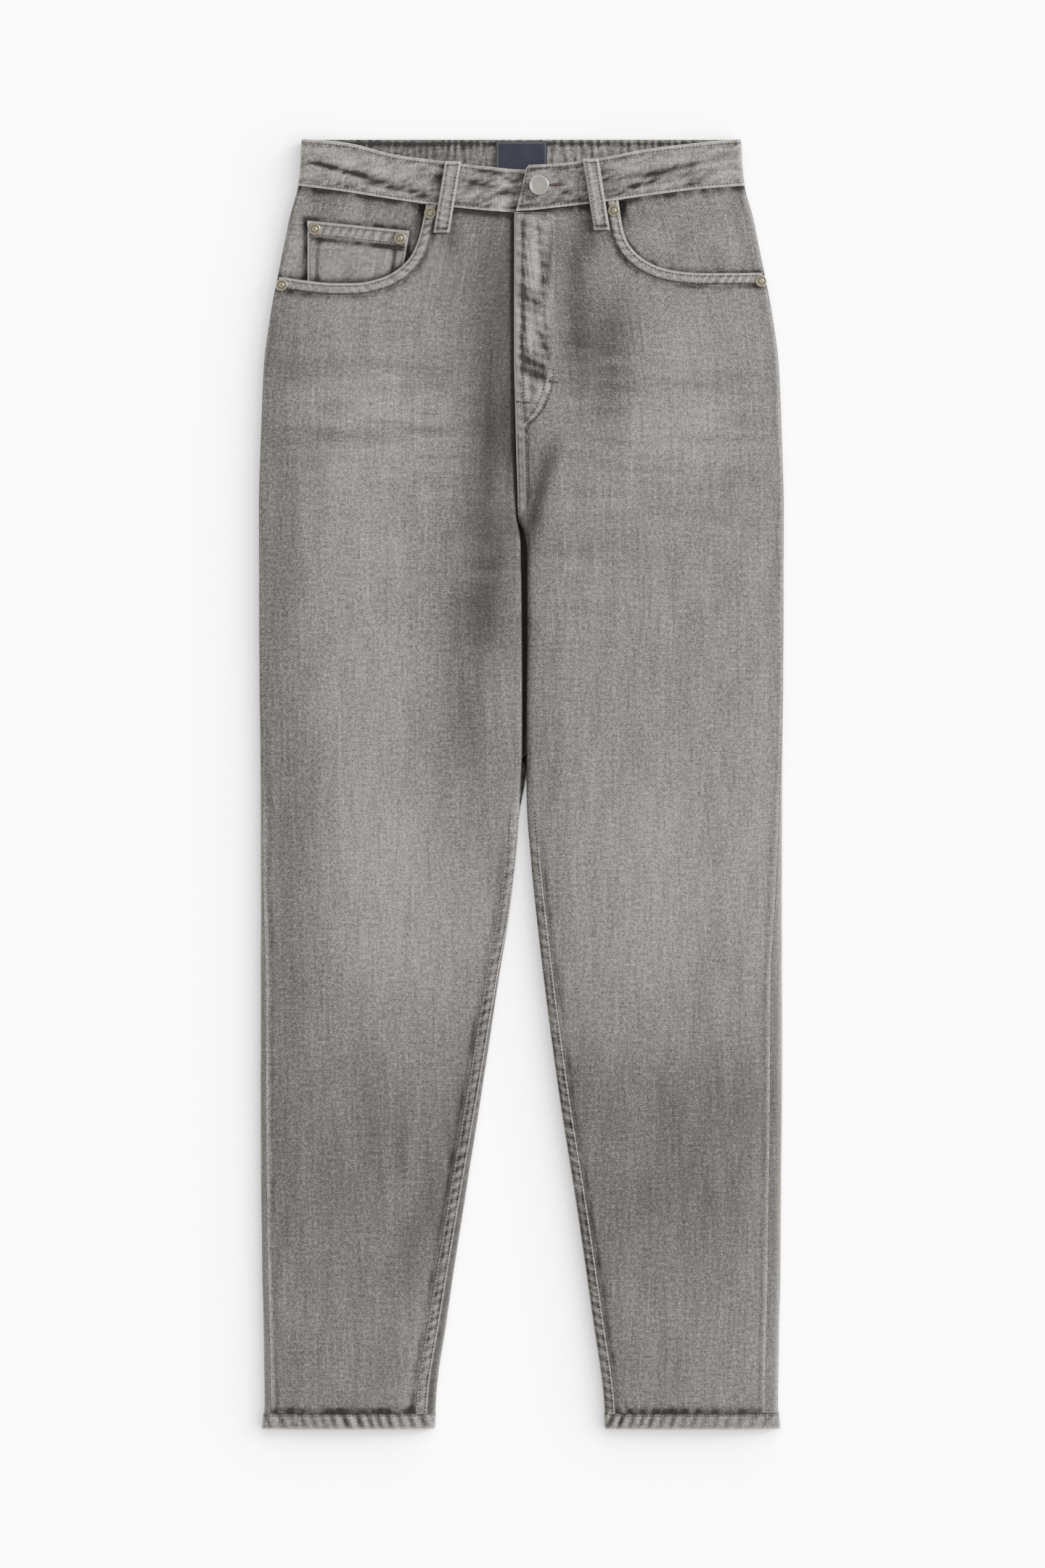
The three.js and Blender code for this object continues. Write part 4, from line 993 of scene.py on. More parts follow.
@dataclass
class Workroom:
    """What every piece is made with."""

    form: LaidForm
    finishes: Finishes
    pucker: Ripples = field(default_factory=lambda: Ripples(11))
    slub: Ripples = field(default_factory=lambda: Ripples(23))
    crease: Ripples = field(default_factory=lambda: Ripples(37))

    def tone(self, x: Array, y: Array) -> Array:
        """The front's wash at each place, with its painted shade and highlights: the share of light yarn."""
        # the table holds the wash and the painted shade and highlights together
        wash = 0.26 + summed(WASH_AND_SHADE, x, y)
        mottle = 0.02 * self.slub(x / 9, y / 60) + 0.02 * self.slub(x / 24 + 90, y / 34)
        lines = self.slub(x / 38 + 7, (y + 0.06 * x) / 5.2) + 0.6 * self.slub(x / 60, (y - 0.05 * x) / 11 + 31)
        return np.maximum(wash + mottle + summed(WHISKERS, x, y) * lines, 0.04)

    def patchy(self, x: Array, y: Array, level: float) -> Array:
        """How uneven the darkening beside seams and under raised edges is, about a level: dye left beside
        seams, painted shadow under raised edges.
        """
        return level + 0.5 * self.slub(x / 5, y / 11)

    def patch(
        self,
        side: Side,
        ring: Array,
        y: Array,
        over: Array,
        thick: float,
        tone: Array,
        wear: Array | float,
        seed: float,
    ) -> Patch:
        """Lays a grid of cloth on the form.

        Args:
            side: the half that it lies on.
            ring: distances along the cloth in from the outer fold.
            y: heights.
            over: how far its outer face stands above the form.
            thick: its thickness.
            tone: the share of light yarn, with any painted shade and highlights in it.
            wear: how far the dye has rubbed off.
            seed: sets this piece's weave apart from its neighbours'.
        """
        ring, y = np.broadcast_arrays(ring, y)
        points, normals = self.form.place(side, ring, y)
        over, tone, wear = (np.broadcast_to(each, ring.shape).astype(float) for each in (over, tone, wear))
        cloth = np.stack([side.value * -ring, y, np.full(ring.shape, seed)], axis=-1)
        return Patch(points, normals, over, over - thick, cloth, tone, wear)

    def make(
        self,
        name: str,
        node: str,
        cut: Cut,
        below: str | Sequence[str],
        patches: Sequence[Patch],
        sew: Callable[[Stitching], None] | None = None,
        slot: str = "denim",
    ) -> bpy.types.Object:
        """Makes a cloth piece with its stitches, hangs it under the root and hides its node.

        Args:
            name: the piece's own name.
            node: the part's node that it stands for.
            cut: its flat cut; not used.
            below: what it rests on; not used.
            patches: its walls of cloth.
            sew: sews its rows of stitches.
            slot: the label's material for label_cloth, the denim's for anything else.
        """
        mesh = ClothMesh(name, patches)
        thing = mesh.build(self.finishes.label if slot == "label_cloth" else self.finishes.denim)
        if sew is not None:
            sewing = Stitching(mesh)
            sew(sewing)
            sewing.build(self.finishes.thread)
        return declare(thing, node)

    def rope(self, along: Array, across: Array, pitch: float, lean: float, seed: float) -> Array:
        """The ridges that shrinking leaves along a stitched edge, from -1 to 1.

        Args:
            along: distance along the edge.
            across: distance in from it.
            pitch: from one ridge to the next.
            lean: how far a ridge slants with each mm in from the edge.
            seed: sets this edge apart from the others.
        """
        slanted = along + lean * across
        uneven = slanted + 0.55 * pitch * self.pucker(slanted / (2.3 * pitch), seed)
        strength = 0.62 + 0.38 * self.pucker(slanted / (3.1 * pitch) + 40, seed + 7)
        return np.sin(uneven * math.tau / pitch) * strength


def graded(length: float, pitch: float, edge: Sequence[float] = (0.5, 1.2, 2.2, 3.6)) -> Array:
    """Places from 0 to 1 along a length, close at both ends.

    Args:
        length: in mm.
        pitch: between places in the middle.
        edge: the places near each end, in mm from it.
    """
    near = np.array([0.0, *edge])
    count = max(2, int(round((length - 2 * near[-1]) / pitch)) + 1)
    middle = np.linspace(near[-1], length - near[-1], count)[1:-1]
    return np.concatenate([near, middle, (length - near)[::-1]]) / length


@dataclass
class FrontPanel:
    """A front leg panel, with its pocket mouth, fly or rise seam, felled inseam and hem."""

    room: Workroom
    side: Side
    cut: Cut = Cut(0.232, 1.04, 0.8)
    fly_width: float = 35.5
    fly_bottom: float = 293.0
    fly_top: float = 470.0
    seam_width: float = 10.6
    sew_start: float = 385.0

    def from_seam(self, y: Array) -> Array:
        """The ring at which the panel starts, at its side seam."""
        return SIDE_SHIFT[self.side](y) + GAP / 2

    def to_seam(self, y: Array) -> Array:
        """The ring at which the panel ends, at its inseam or the fly."""
        return self.room.form.top_length(self.side, y) - IN_SHIFT[self.side](y) - GAP / 2

    def mouth(self, inward: float = 0.0, count: int = 120) -> Array:
        """The pocket mouth's line, or one parallel to it on the panel, as distance and height.

        Args:
            inward: how far in from the edge.
            count: of points along it.
        """
        rows = np.array(MOUTHS[self.side], float)
        arc = distances(rows)
        table = tuple((a, m, y) for a, (m, y) in zip(arc, rows))
        along = np.linspace(0, arc[-1], count)
        line = np.stack([Curve(table, 1)(along), Curve(table, 2)(along)], axis=-1)
        kernel = np.ones(7) / 7
        padded = np.pad(line, ((3, 3), (0, 0)), mode="reflect", reflect_type="odd")
        line = np.stack([np.convolve(padded[:, k], kernel, "valid") for k in range(2)], axis=-1)
        slope = np.gradient(line, axis=0)
        slope /= np.linalg.norm(slope, axis=-1, keepdims=True)
        inside = np.stack([slope[:, 1], -slope[:, 0]], axis=-1)
        moved = line + inside * inward
        moved[:, 0] = np.minimum(moved[:, 0], OUT(moved[:, 1]) - 2.2)
        return moved

    def relief(self, x: Array, y: Array, ring: Array) -> Array:
        """The panel's own soft folds and puckers above the form."""
        hold = ease(ring / 40) * ease((self.to_seam(y) - ring) / np.where(y < CROTCH + 60, 40.0, 4.0))
        height = summed(FOLDS, x, y) * np.clip(hold, 0.0, 1.0)
        height += 0.22 * hold * self.room.crease(x / 34, y / 60)
        height += 0.09 * hold * self.room.crease(x / 11 + 60, y / 17)
        inseam = self.to_seam(y) - ring
        beside = bell(inseam, 5, 13) * (y < CROTCH)
        height += 0.1 * beside * lower_leg(y) * self.room.rope(y, inseam, 13.0, 0.3, 3.0)
        height += 0.16 * bell(ring, 5, 4) * self.room.rope(y, ring, 11.0, 0.2, 5.0)
        above_hem = y + END - HEM_HEIGHT
        height += 0.3 * bell(above_hem, 9) * self.room.rope(x, above_hem, 9.0, 0.35, 9.0)
        return height

    def shade(self, x: Array, y: Array, ring: Array) -> Array:
        """The panel's wash, darker beside its seams and hem, with painted shadow under the waistband and beside
        the fly's edge, and painted shade in the gap between the legs.
        """
        tone = self.room.tone(x, y)
        inseam = self.to_seam(y) - ring
        leg = 1 - ease((y - CROTCH + 8) / 10)
        patchy = self.room.patchy(x, y, 0.8)
        low = leg * lower_leg(y)
        tone = tone - 0.16 * low * patchy * bell(inseam, 2.6, 12)
        # painted shade along the inner edge between the knee and the crotch, where the gap between the legs is
        # in deep shade
        inner = ease((y + 30) / 40) * (1 - ease((y - 180) / 26))
        tone -= inner * (0.24 * bell(inseam, 1.8) + 0.07 * bell(inseam, 9))
        tone -= 0.26 * patchy * bell(y + END - HEM_HEIGHT, 3.4, 1.5)
        lower = 1 - ease((y + 40) / 60)
        tone += (0.06 + 0.14 * lower) * bell(ring - self.from_seam(y), 1.3, 1.2)
        tone -= (0.05 + 0.04 * lower) * patchy * bell(ring - self.from_seam(y), 1.8, 5.0)
        # painted shadow on the right front beside the fly's edge, which stands up over it
        if self.side is Side.RIGHT:
            tone -= (1 - leg) * (0.3 * bell(inseam, 1.7) + 0.09 * bell(inseam, 10))
        # darker under the waistband: dye kept dark at the seam and painted shadow under the band's raised edge
        band = BAND_BOTTOM[self.side](self.side.value * x)
        tone -= 0.34 * patchy * bell(band - y, 5)
        mouth = self.mouth(MOUTH_WIDTH + 1.5, 60)
        nearest = np.full(x.shape, 1e6)
        for m, height in mouth:
            nearest = np.minimum(nearest, (self.side.value * x - m) ** 2 + (y - height) ** 2)
        tone -= 0.22 * patchy * np.exp(-nearest / 8)
        return tone

    def main(self) -> Patch:
        """The panel itself, from the hem to the waistband and the pocket mouth."""
        form, side = self.room.form, self.side
        u = graded(205.0, 2.15)
        low = np.concatenate([[-END + 1.2, -END + 6], np.arange(HEM_TOP - 1, -492, 2.2)])
        high = np.arange(-492, self.sew_start, 3.0)
        heights = np.concatenate([low, high])
        ring_low = blend(self.from_seam(heights)[None], self.to_seam(heights)[None], u[:, None])
        y_low = np.broadcast_to(heights, ring_low.shape)
        mouth = self.mouth(1.6)[::-1]
        mouth = mouth[mouth[:, 1] < BAND_BOTTOM[side](mouth[:, 0]) - 0.4]
        corner = mouth[-1]
        waist_m = np.linspace(corner[0] - 1.5, side.value * INNER[side](470.0) + 0.2, 40)
        waist = np.stack([waist_m, BAND_BOTTOM[side](waist_m) - 0.3], axis=-1)
        edge = np.concatenate([mouth, waist])
        rings = form.ring_at(side, edge[:, 0], edge[:, 1])
        rings[0] = self.from_seam(edge[0, 1])
        rings[-1] = self.to_seam(edge[-1, 1])
        arc = distances(edge)
        target_ring = np.interp(u * arc[-1], arc, rings)
        target_y = np.interp(u * arc[-1], arc, edge[:, 1])
        share = np.concatenate([np.linspace(0, 0.86, 26), np.linspace(0.86, 1.0, 12)[1:]])
        start = self.sew_start
        first, last = self.from_seam(start), self.to_seam(start)
        across = np.clip((blend(first, last, u) - first) / (last - first), 0, 1)
        y_high = blend(start, target_y[:, None], share[None])
        straight = blend(self.from_seam(y_high), self.to_seam(y_high), across[:, None])
        target_first = self.from_seam(target_y)
        end_across = (target_ring - target_first) / (self.to_seam(target_y) - target_first)
        drift = blend(across[:, None], end_across[:, None], ease(share)[None])
        ring_high = blend(self.from_seam(y_high), self.to_seam(y_high), drift)
        ring_high = np.where(share[None] < 1e-9, straight, ring_high)
        ring = np.concatenate([ring_low, ring_high], axis=1)
        y = np.concatenate([y_low, y_high], axis=1)
        x = form.x_at(side, ring, y)
        over, tone = self.relief(x, y, ring), self.shade(x, y, ring)
        return self.room.patch(side, ring, y, over, DENIM_THICK, tone, 0.0, 1.0 + side.value)

    def hem(self) -> Patch:
        """The turned hem, roped where it has shrunk."""
        side = self.side
        y = -END + HEM_HEIGHT * np.array([0, 0.05, 0.12, 0.22, 0.34, 0.46, 0.58, 0.7, 0.8, 0.88, 0.94, 1])
        u = graded(144.0, 1.5, (0.6, 1.4))
        ring = blend(self.from_seam(y)[None], self.to_seam(y)[None], u[:, None])
        heights = np.broadcast_to(y, ring.shape)
        up = (heights + END) / HEM_HEIGHT
        x = self.room.form.x_at(side, ring, heights)
        ridge = self.room.rope(ring, heights + END, 9.4, 0.5, 13.0 + side.value)
        body = arch(up, 0.7)
        over = 0.75 + 0.34 * ridge * body - 0.5 * ease((up - 0.86) / 0.14)
        tone = 0.34 + 0.32 * ridge * body * (1 + 0.8 * self.room.slub(x / 9, 4.5))
        tone = tone - 0.26 * ease((up - 0.82) / 0.18) - 0.04 + 0.4 * (self.room.tone(x, heights) - 0.3)
        wear = 0.45 * bell(up, 0.1) * (0.7 + 0.3 * ridge) + 0.14 * np.clip(ridge, 0, 1) * body
        return self.room.patch(side, ring, heights, over, 2.7, tone, wear, 2.0)

    def fell(self) -> Patch:
        """The felled band along the inseam."""
        side = self.side
        y = np.arange(HEM_TOP - 0.5, CROTCH - 1, 2.6)
        fade = lower_leg(y)[None]
        across = np.array([0, 0.05, 0.13, 0.24, 0.36, 0.5, 0.64, 0.78, 0.88, 0.95, 1])[:, None]
        start, end = self.to_seam(y) - FELL_WIDTH, self.to_seam(y)
        ring = blend(start[None], end[None], across)
        heights = np.broadcast_to(y, ring.shape)
        x = self.room.form.x_at(side, ring, heights)
        inward = (1 - across) * FELL_WIDTH
        ridge = self.room.rope(heights, inward, 8.4, 0.55, 17.0 + side.value)
        body = arch(across, 0.6)
        over = -0.3 + fade * (0.4 + 0.5 * body + 0.2 * ridge * body)
        patchy = 0.8 + 0.9 * self.room.slub(x / 6, heights / 10)
        tone = self.room.tone(x, heights) + 0.12 * ridge * body * fade
        tone -= 0.2 * fade * bell(across, 0.1)
        tone -= 0.18 * patchy * bell(across, 0.1, 0.3) * fade
        tone -= 0.16 * patchy * bell(across, 0.08, 0.8) * fade
        lit = bell(across, 0.06, 0.13) + bell(across, 0.06, 0.97)
        wear = (0.45 * lit * (1 + 0.5 * ridge) + 0.14 * np.clip(ridge, 0, 1) * body) * fade
        return self.room.patch(side, ring, heights, over, 1.4, tone, wear, 3.0)

    def mouth_hem(self) -> Patch:
        """The turned edge of the pocket mouth."""
        side = self.side
        inward = MOUTH_WIDTH * np.array([0, 0.04, 0.1, 0.18, 0.28, 0.4, 0.52, 0.64, 0.76, 0.86, 0.94, 1])
        count = 110
        m, y = np.moveaxis(np.stack([self.mouth(float(d), count) for d in inward]), -1, 0)
        y = np.minimum(y, BAND_BOTTOM[side](m) - 0.2)
        ring = np.maximum(self.room.form.ring_at(side, m, y), self.from_seam(y))
        along = np.linspace(0, 165, count)[None]
        depth = inward[:, None] / MOUTH_WIDTH
        ridge = self.room.rope(along, inward[:, None], 6.4, 0.7, 19.0 + side.value)
        body = arch(depth, 0.6)
        over = 0.35 + 0.55 * body + 0.24 * ridge * body - 0.35 * ease((depth - 0.8) / 0.2)
        tone = 0.38 + 0.2 * ridge * body - 0.34 * bell(depth, 0.14, 1)
        tone -= 0.22 * bell(depth, 0.07, 0.24)
        wear = 0.55 * bell(depth, 0.17) * (0.75 + 0.25 * ridge) + 0.22 * np.clip(ridge, 0, 1) * body
        return self.room.patch(side, ring, y, over, 2.0, tone, wear, 4.0)

    def fly_reach(self, y: Array) -> Array:
        """How far the fly and the felled rise seam reach from the edge at each height."""
        curve = self.fly_width * quarter((y - self.fly_bottom) / (1.75 * self.fly_width))
        seam = blend(3.4, self.seam_width, ease((y - CROTCH) / 34))
        return np.maximum(seam, curve * (y > self.fly_bottom))

    def fly(self) -> Patch:
        """The fly's facing under the left front, which stands up a little, and the felled rise seam."""
        side = self.side
        spans = ((209.0, 288.0, 2.4), (288.0, 360.0, 1.6), (360.0, 471.2, 2.4))
        y = np.concatenate([np.arange(*span) for span in spans])
        across = graded(35.0, 1.5, (0.5, 1.2, 2.2))
        reach = self.fly_reach(y)
        end = self.room.form.top_length(side, y) - GAP / 2
        ring = end[None] - reach[None] * across[:, None]
        heights = np.broadcast_to(y, ring.shape)
        inward = reach[None] * across[:, None]
        x = self.room.form.x_at(side, ring, heights)
        out = reach[None] - inward
        soft = ease((heights - 328) / 20)
        body = quarter(inward / 3.5) * blend(quarter(out / 2.5), ease(out / 11), soft)
        ridge = self.room.rope(heights, inward, 9.5, 0.4, 21.0)
        near = bell(inward, 9) + bell(out, 6)
        over = 0.15 + 0.9 * body + 0.24 * ridge * np.clip(near, 0, 1) * body
        over += 0.4 * bell(inward, 1.6, 2.2) - 0.25 * bell(inward, 1.5, 5)
        over += self.relief(x, heights, ring) * 0.8
        over += 0.25 * body * self.room.crease(x / 9, heights / 20)
        crotch = 1 - ease((heights - 209) / 20)
        over -= 0.5 * soft * (1 - ease(out / 3)) + 0.9 * crotch
        kept = 1 - soft * (1 - ease(out / 10))
        above = ease((heights - 300) / 40)
        streak = bell(inward, 4.5, 15) * above
        scratch = self.room.slub((x + 0.14 * heights) / 1.9, heights / 19)
        tone = self.room.tone(x, heights) + 0.12 * ridge * body * kept
        tone += kept * 0.8 * summed(FLY_SCUFFS, x, heights) * (1 + 0.5 * scratch)
        # painted shade where the fly's end dips into the crotch, which also takes its wear away
        tone += kept * ((0.04 + 0.15 * above) * scratch + 0.09 * streak) - 0.2 * crotch
        tone -= 0.3 * bell(out, 1.4) * (1 - soft)
        tone -= 0.16 * bell(inward, 1.2, 7.6) * above
        plain = (1 - above) * ease((heights - CROTCH - 4) / 30)
        sewn = bell(inward, 0.7, 2.6) + bell(inward, 0.7, 8.6)
        tone -= 0.16 * sewn * plain
        edge = bell(inward, 1.7) + 0.35 * bell(inward, 6)
        wear = 0.45 * edge + 0.2 * streak * np.clip(scratch, 0, 1)
        rubbed = bell(out, 1.4, 4.2) * (1 + ridge) * (1 - soft)
        wear += 0.16 * rubbed * (heights > self.fly_bottom)
        wear += 0.3 * bell(inward, 1.0, 6.4) * plain
        return self.room.patch(side, ring, heights, over, 1.5, tone, wear * (1 - crotch), 5.0)

    def on_form(self, line: Array) -> Array:
        """Points near the skin from a line of distance and height on the front."""
        form = self.room.form
        return form.lifted(self.side, form.ring_at(self.side, line[:, 0], line[:, 1]), line[:, 1])

    def along_seam(self, inward: float, low: float, high: float) -> Array:
        """Points near the skin, parallel to the inseam or the fly's edge."""
        y = np.arange(low, high, 2.0)
        end = self.room.form.top_length(self.side, y) - IN_SHIFT[self.side](y)
        return self.room.form.lifted(self.side, end - inward, y)

    def sew(self, sewing: Stitching) -> None:
        """The panel's rows of stitches."""
        form = self.room.form
        for inward in (1.9, 8.3):
            sewing.row(self.on_form(self.mouth(inward)))
            sewing.row(self.along_seam(inward - 0.3, HEM_TOP, -20))
        y = np.full(60, HEM_TOP - 1.8)
        sewing.row(form.lifted(self.side, np.linspace(self.from_seam(y[0]) + 1, self.to_seam(y[0]) - 1, 60), y))
        if self.side is Side.RIGHT:
            return
        for inset in (1.4, 7.0):
            y = np.arange(self.fly_bottom + 2 + inset * 0.8, 346.0, 1.5)
            reach = self.fly_reach(y) - inset
            sewing.row(form.lifted(self.side, form.top_length(self.side, y) - reach, y))
        for inward, low in ((2.4, 217), (8.8, 236)):
            sewing.row(self.along_seam(inward, low, self.fly_bottom - 1))
        sewing.row(self.along_seam(7.6, self.fly_bottom + 4, self.fly_top))
        sewing.bar_tack((-4.6, 314.6, 14), (7.0, 314.2, 14))
        sewing.bar_tack((22.9, 332.0, 14), (29.6, 331.0, 14))

    def build(self) -> bpy.types.Object:
        """Makes the panel and its stitches."""
        tag = self.side.tag
        patches = [self.main(), self.hem(), self.fell(), self.mouth_hem()]
        if self.side is Side.LEFT:
            patches.append(self.fly())
        names = f"denim_front_{tag}", f"front_panel_{tag}"
        return self.room.make(*names, self.cut, f"back_panel_{tag}", patches, self.sew)


@dataclass
class BackPanel:
    """A back leg panel, which comes round on to the front at its seams, or the yoke above it."""

    room: Workroom
    side: Side
    is_yoke: bool = False
    yoke_centre: float = 431.0
    yoke_side: float = 459.0

    def ends(self, y: Array) -> tuple[Array, Array]:
        """The rings at the side seam and at the inseam or centre seam."""
        under = self.room.form.under_length(self.side, y)
        return SIDE_SHIFT[self.side](y) - GAP / 2, -(under + IN_SHIFT[self.side](y)) + GAP / 2

    def yoke_seam(self, m: Array) -> Array:
        """Height of the yoke seam at a distance from the centre."""
        return blend(self.yoke_centre, self.yoke_side, np.clip(m / 196, 0, 1))

    def grid(self, rows: Array, base: float) -> tuple[Array, Array]:
        """The rings and heights of the piece's grid.

        Args:
            rows: shares of the height from the base, or of the yoke's.
            base: the height up to which a leg panel's rows are level.
        """
        u = graded(230.0, 4.2, (0.5, 1.3, 2.4, 3.8, 5.4, 7.2, 9.4, 12.0))
        ring = blend(*self.ends(np.array(HIP)), u)
        m = self.side.value * self.room.form.x_at(self.side, ring, HIP)
        seam = self.yoke_seam(m)[:, None]
        if self.is_yoke:
            y = blend(seam + GAP / 2, END - BAND_BACK_HEIGHT - GAP, rows[None])
        else:
            leg = np.concatenate([[-END + 1.2, -END + 6], np.arange(HEM_TOP, base, 5.0)])
            top = blend(base, seam - GAP / 2, rows[None])
            y = np.concatenate([np.broadcast_to(leg, (len(u), len(leg))), top], axis=1)
        return blend(*self.ends(y), u[:, None]), y

    def relief(self, y: Array, ring: Array, last: Array) -> Array:
        """The soft dents of the underside, which never push through the table."""
        ripple = 0.3 * self.room.crease(ring / 15 + 20, y / 34) - 0.35
        hold = ease((ring - last) / 14) * ease((8 - ring) / 16)
        return np.where(ring < 6, ripple * hold, 0.0)

    def shade(self, x: Array, y: Array, ring: Array, inseam: Array) -> Array:
        """The back's wash: light on the seat and behind the knee, darker beside its seams."""
        tone = 0.27 + 0.12 * np.exp(-(((np.abs(x) - 105) / 60) ** 2) - ((y - 230) / 190) ** 2)
        tone = tone + 0.07 * np.exp(-(((np.abs(x) - 110) / 60) ** 2) - ((y + 120) / 100) ** 2)
        tone += 0.02 * self.room.slub(ring / 12 + 50, y / 46)
        tone -= 0.13 * bell(inseam, 4)
        tone = np.where(ring > -4, self.room.tone(x, y) - 0.06, tone)
        return np.where(inseam < 14, tone - 0.1 * lower_leg(y), tone)

    def main(self) -> Patch:
        """The panel or yoke itself."""
        rows = np.linspace(0, 1, 14 if self.is_yoke else 44)
        ring, y = self.grid(rows, 250.0)
        _, last = self.ends(y)
        x = self.room.form.x_at(self.side, ring, y)
        inseam = ring - last
        over = self.relief(y, ring, last)
        if not self.is_yoke:
            over = over - 0.25 * bell(self.yoke_seam(np.abs(x)) - y, 1.5)
        ridge = self.room.rope(y, inseam, 8.6, 0.5, 31.0 + self.side.value)
        wear = 0.16 * bell(inseam, 2.2) * (1 + ridge) * (y < 40) + 0.2 * bell(ring, 5, 3)
        tone = self.shade(x, y, ring, inseam)
        # painted shadow: the back's inner fold, which shows in the gap between the legs, is painted dark as the
        # deep shade there
        tone -= 0.8 * bell(inseam, 9) * ease((y + 60) / 60)
        return self.room.patch(self.side, ring, y, over, DENIM_THICK, tone, wear * 0.6, 6.0)

    def hem(self) -> Patch:
        """The back's part of the turned hem."""
        y = -END + HEM_HEIGHT * np.array([0, 0.06, 0.15, 0.28, 0.42, 0.56, 0.7, 0.82, 0.92, 1])
        first, last = self.ends(y)
        u = graded(150.0, 2.0, (0.6, 1.4))
        ring = blend(first[None], last[None], u[:, None])
        heights = np.broadcast_to(y, ring.shape)
        up = (heights + END) / HEM_HEIGHT
        ridge = self.room.rope(ring, heights + END, 7.6, 0.5, 41.0 + self.side.value)
        body = arch(up, 0.7)
        under = ring < 0
        over = np.where(under, 0.05, 0.7) + np.where(under, 0.0, 0.3) * ridge * body
        tone = 0.3 + 0.14 * ridge * body - 0.15 * ease((up - 0.82) / 0.18)
        wear = 0.4 * bell(up, 0.1) + 0.12 * np.clip(ridge, 0, 1) * body
        return self.room.patch(self.side, ring, heights, over, 2.4, tone, wear, 7.0)

    def sew(self, sewing: Stitching) -> None:
        """The rows of stitches on the underside."""
        form, side, lift = self.room.form, self.side, 1.2
        if self.is_yoke:
            m = np.linspace(2, 190, 60)
            for above in (2.0, 8.0):
                y = self.yoke_seam(m) + above
                ring = -(form.under_length(side, y) - (m - side.value * INNER[side](y)))
                sewing.row(form.lifted(side, ring, y, lift))
            return
        y = np.full(60, HEM_TOP - 1.8)
        first, last = self.ends(y)
        sewing.row(form.lifted(side, np.linspace(first[0] - 1, last[0] + 1, 60), y, lift))
        y = np.arange(216.0, 430.0, 3.0)
        for inward in (1.8, 8.0):
            sewing.row(form.lifted(side, self.ends(y)[1] + inward, y, lift))

    def build(self) -> bpy.types.Object:
        """Makes the piece and its stitches."""
        tag = self.side.tag
        if self.is_yoke:
            names, cut, below, patches = ("yoke", "yoke"), Cut(0.2, 0.066, 0.78), "table", [self.main()]
        else:
            names, cut, below = ("back", "back_panel"), Cut(0.25, 1.0, 0.78), f"back_pocket_{tag}"
            patches = [self.main(), self.hem()]
        return self.room.make(f"denim_{names[0]}_{tag}", f"{names[1]}_{tag}", cut, below, patches, self.sew)


@dataclass
class PocketFacing:
    """The facing that shows in a pocket mouth and runs on under the front panel."""

    room: Workroom
    side: Side
    cut: Cut = Cut(0.14, 0.11, 0.7)

    @property
    def depth(self) -> float:
        """How far it lies under the front's skin."""
        return 3.0 if self.side is Side.RIGHT else 2.2

    def sunk(self, m: Array, y: Array) -> Array:
        """How far it lies under the front's skin at each place: it comes up to its seams."""
        band = np.where(m > 84, BAND_BOTTOM[self.side](m) - y, 99.0)
        return self.depth * ease(np.minimum(OUT(y) - m, band) / 24 + 0.05)

    def build(self) -> bpy.types.Object:
        """Makes the facing."""
        room, side = self.room, self.side
        inner = 64.0
        share = graded(130.0, 2.2, (0.6, 1.4, 2.6))
        rows = graded(70.0, 2.0, (0.6, 1.4))
        m_at = blend(OUT(HIP), inner, share)
        reach = 16 * ease((OUT(HIP) - m_at - 16) / 14)
        low = MOUTH_Y[side](m_at) - reach + 0.2
        low = np.where(m_at < 84, MOUTH_Y[side](84.0) - 16, low)
        high = BAND_BOTTOM[side](m_at) + 1.0
        y = blend(low[:, None], high[:, None], rows[None])
        end = room.form.ring_at(side, np.full_like(y, inner), y)
        start = SIDE_SHIFT[side](y) + GAP / 2
        ring = blend(start, end, share[:, None])
        x = room.form.x_at(side, ring, y)
        m = side.value * x
        over = -self.sunk(m, y) + 0.16 * room.crease(x / 16, y / 14)
        patchy = room.patchy(x, y, 0.85)
        tone = 0.3 + 0.03 * room.slub(x / 9, y / 40) + 0.05 * room.crease(x / 20, y / 18)
        # painted shadow under the pocket mouth's raised edge and under the waistband, where dye also stays dark
        # at the seam, made uneven by patchy
        tone -= 0.3 * patchy * bell(y - MOUTH_Y[side](m), 4)
        tone -= 0.34 * patchy * bell(BAND_BOTTOM[side](m) - y, 5)
        tone -= 0.26 * patchy * bell(m, 9, 80)
        if side is Side.RIGHT:
            top = blend(*COIN_TOP, np.clip((COIN_OUTER - m) / COIN_WIDTH, 0, 1))
            outside = np.maximum(np.maximum(m - COIN_OUTER, 95 - m), y - top)
            tone -= 0.3 * patchy * bell(np.clip(outside - 1, 0, None), 3.6)
        patch = room.patch(side, ring, y, over, DENIM_THICK, tone, 0.0, 8.0)
        names = f"denim_facing_{side.tag}", f"pocket_facing_{side.tag}"
        return room.make(*names, self.cut, f"back_panel_{side.tag}", [patch])


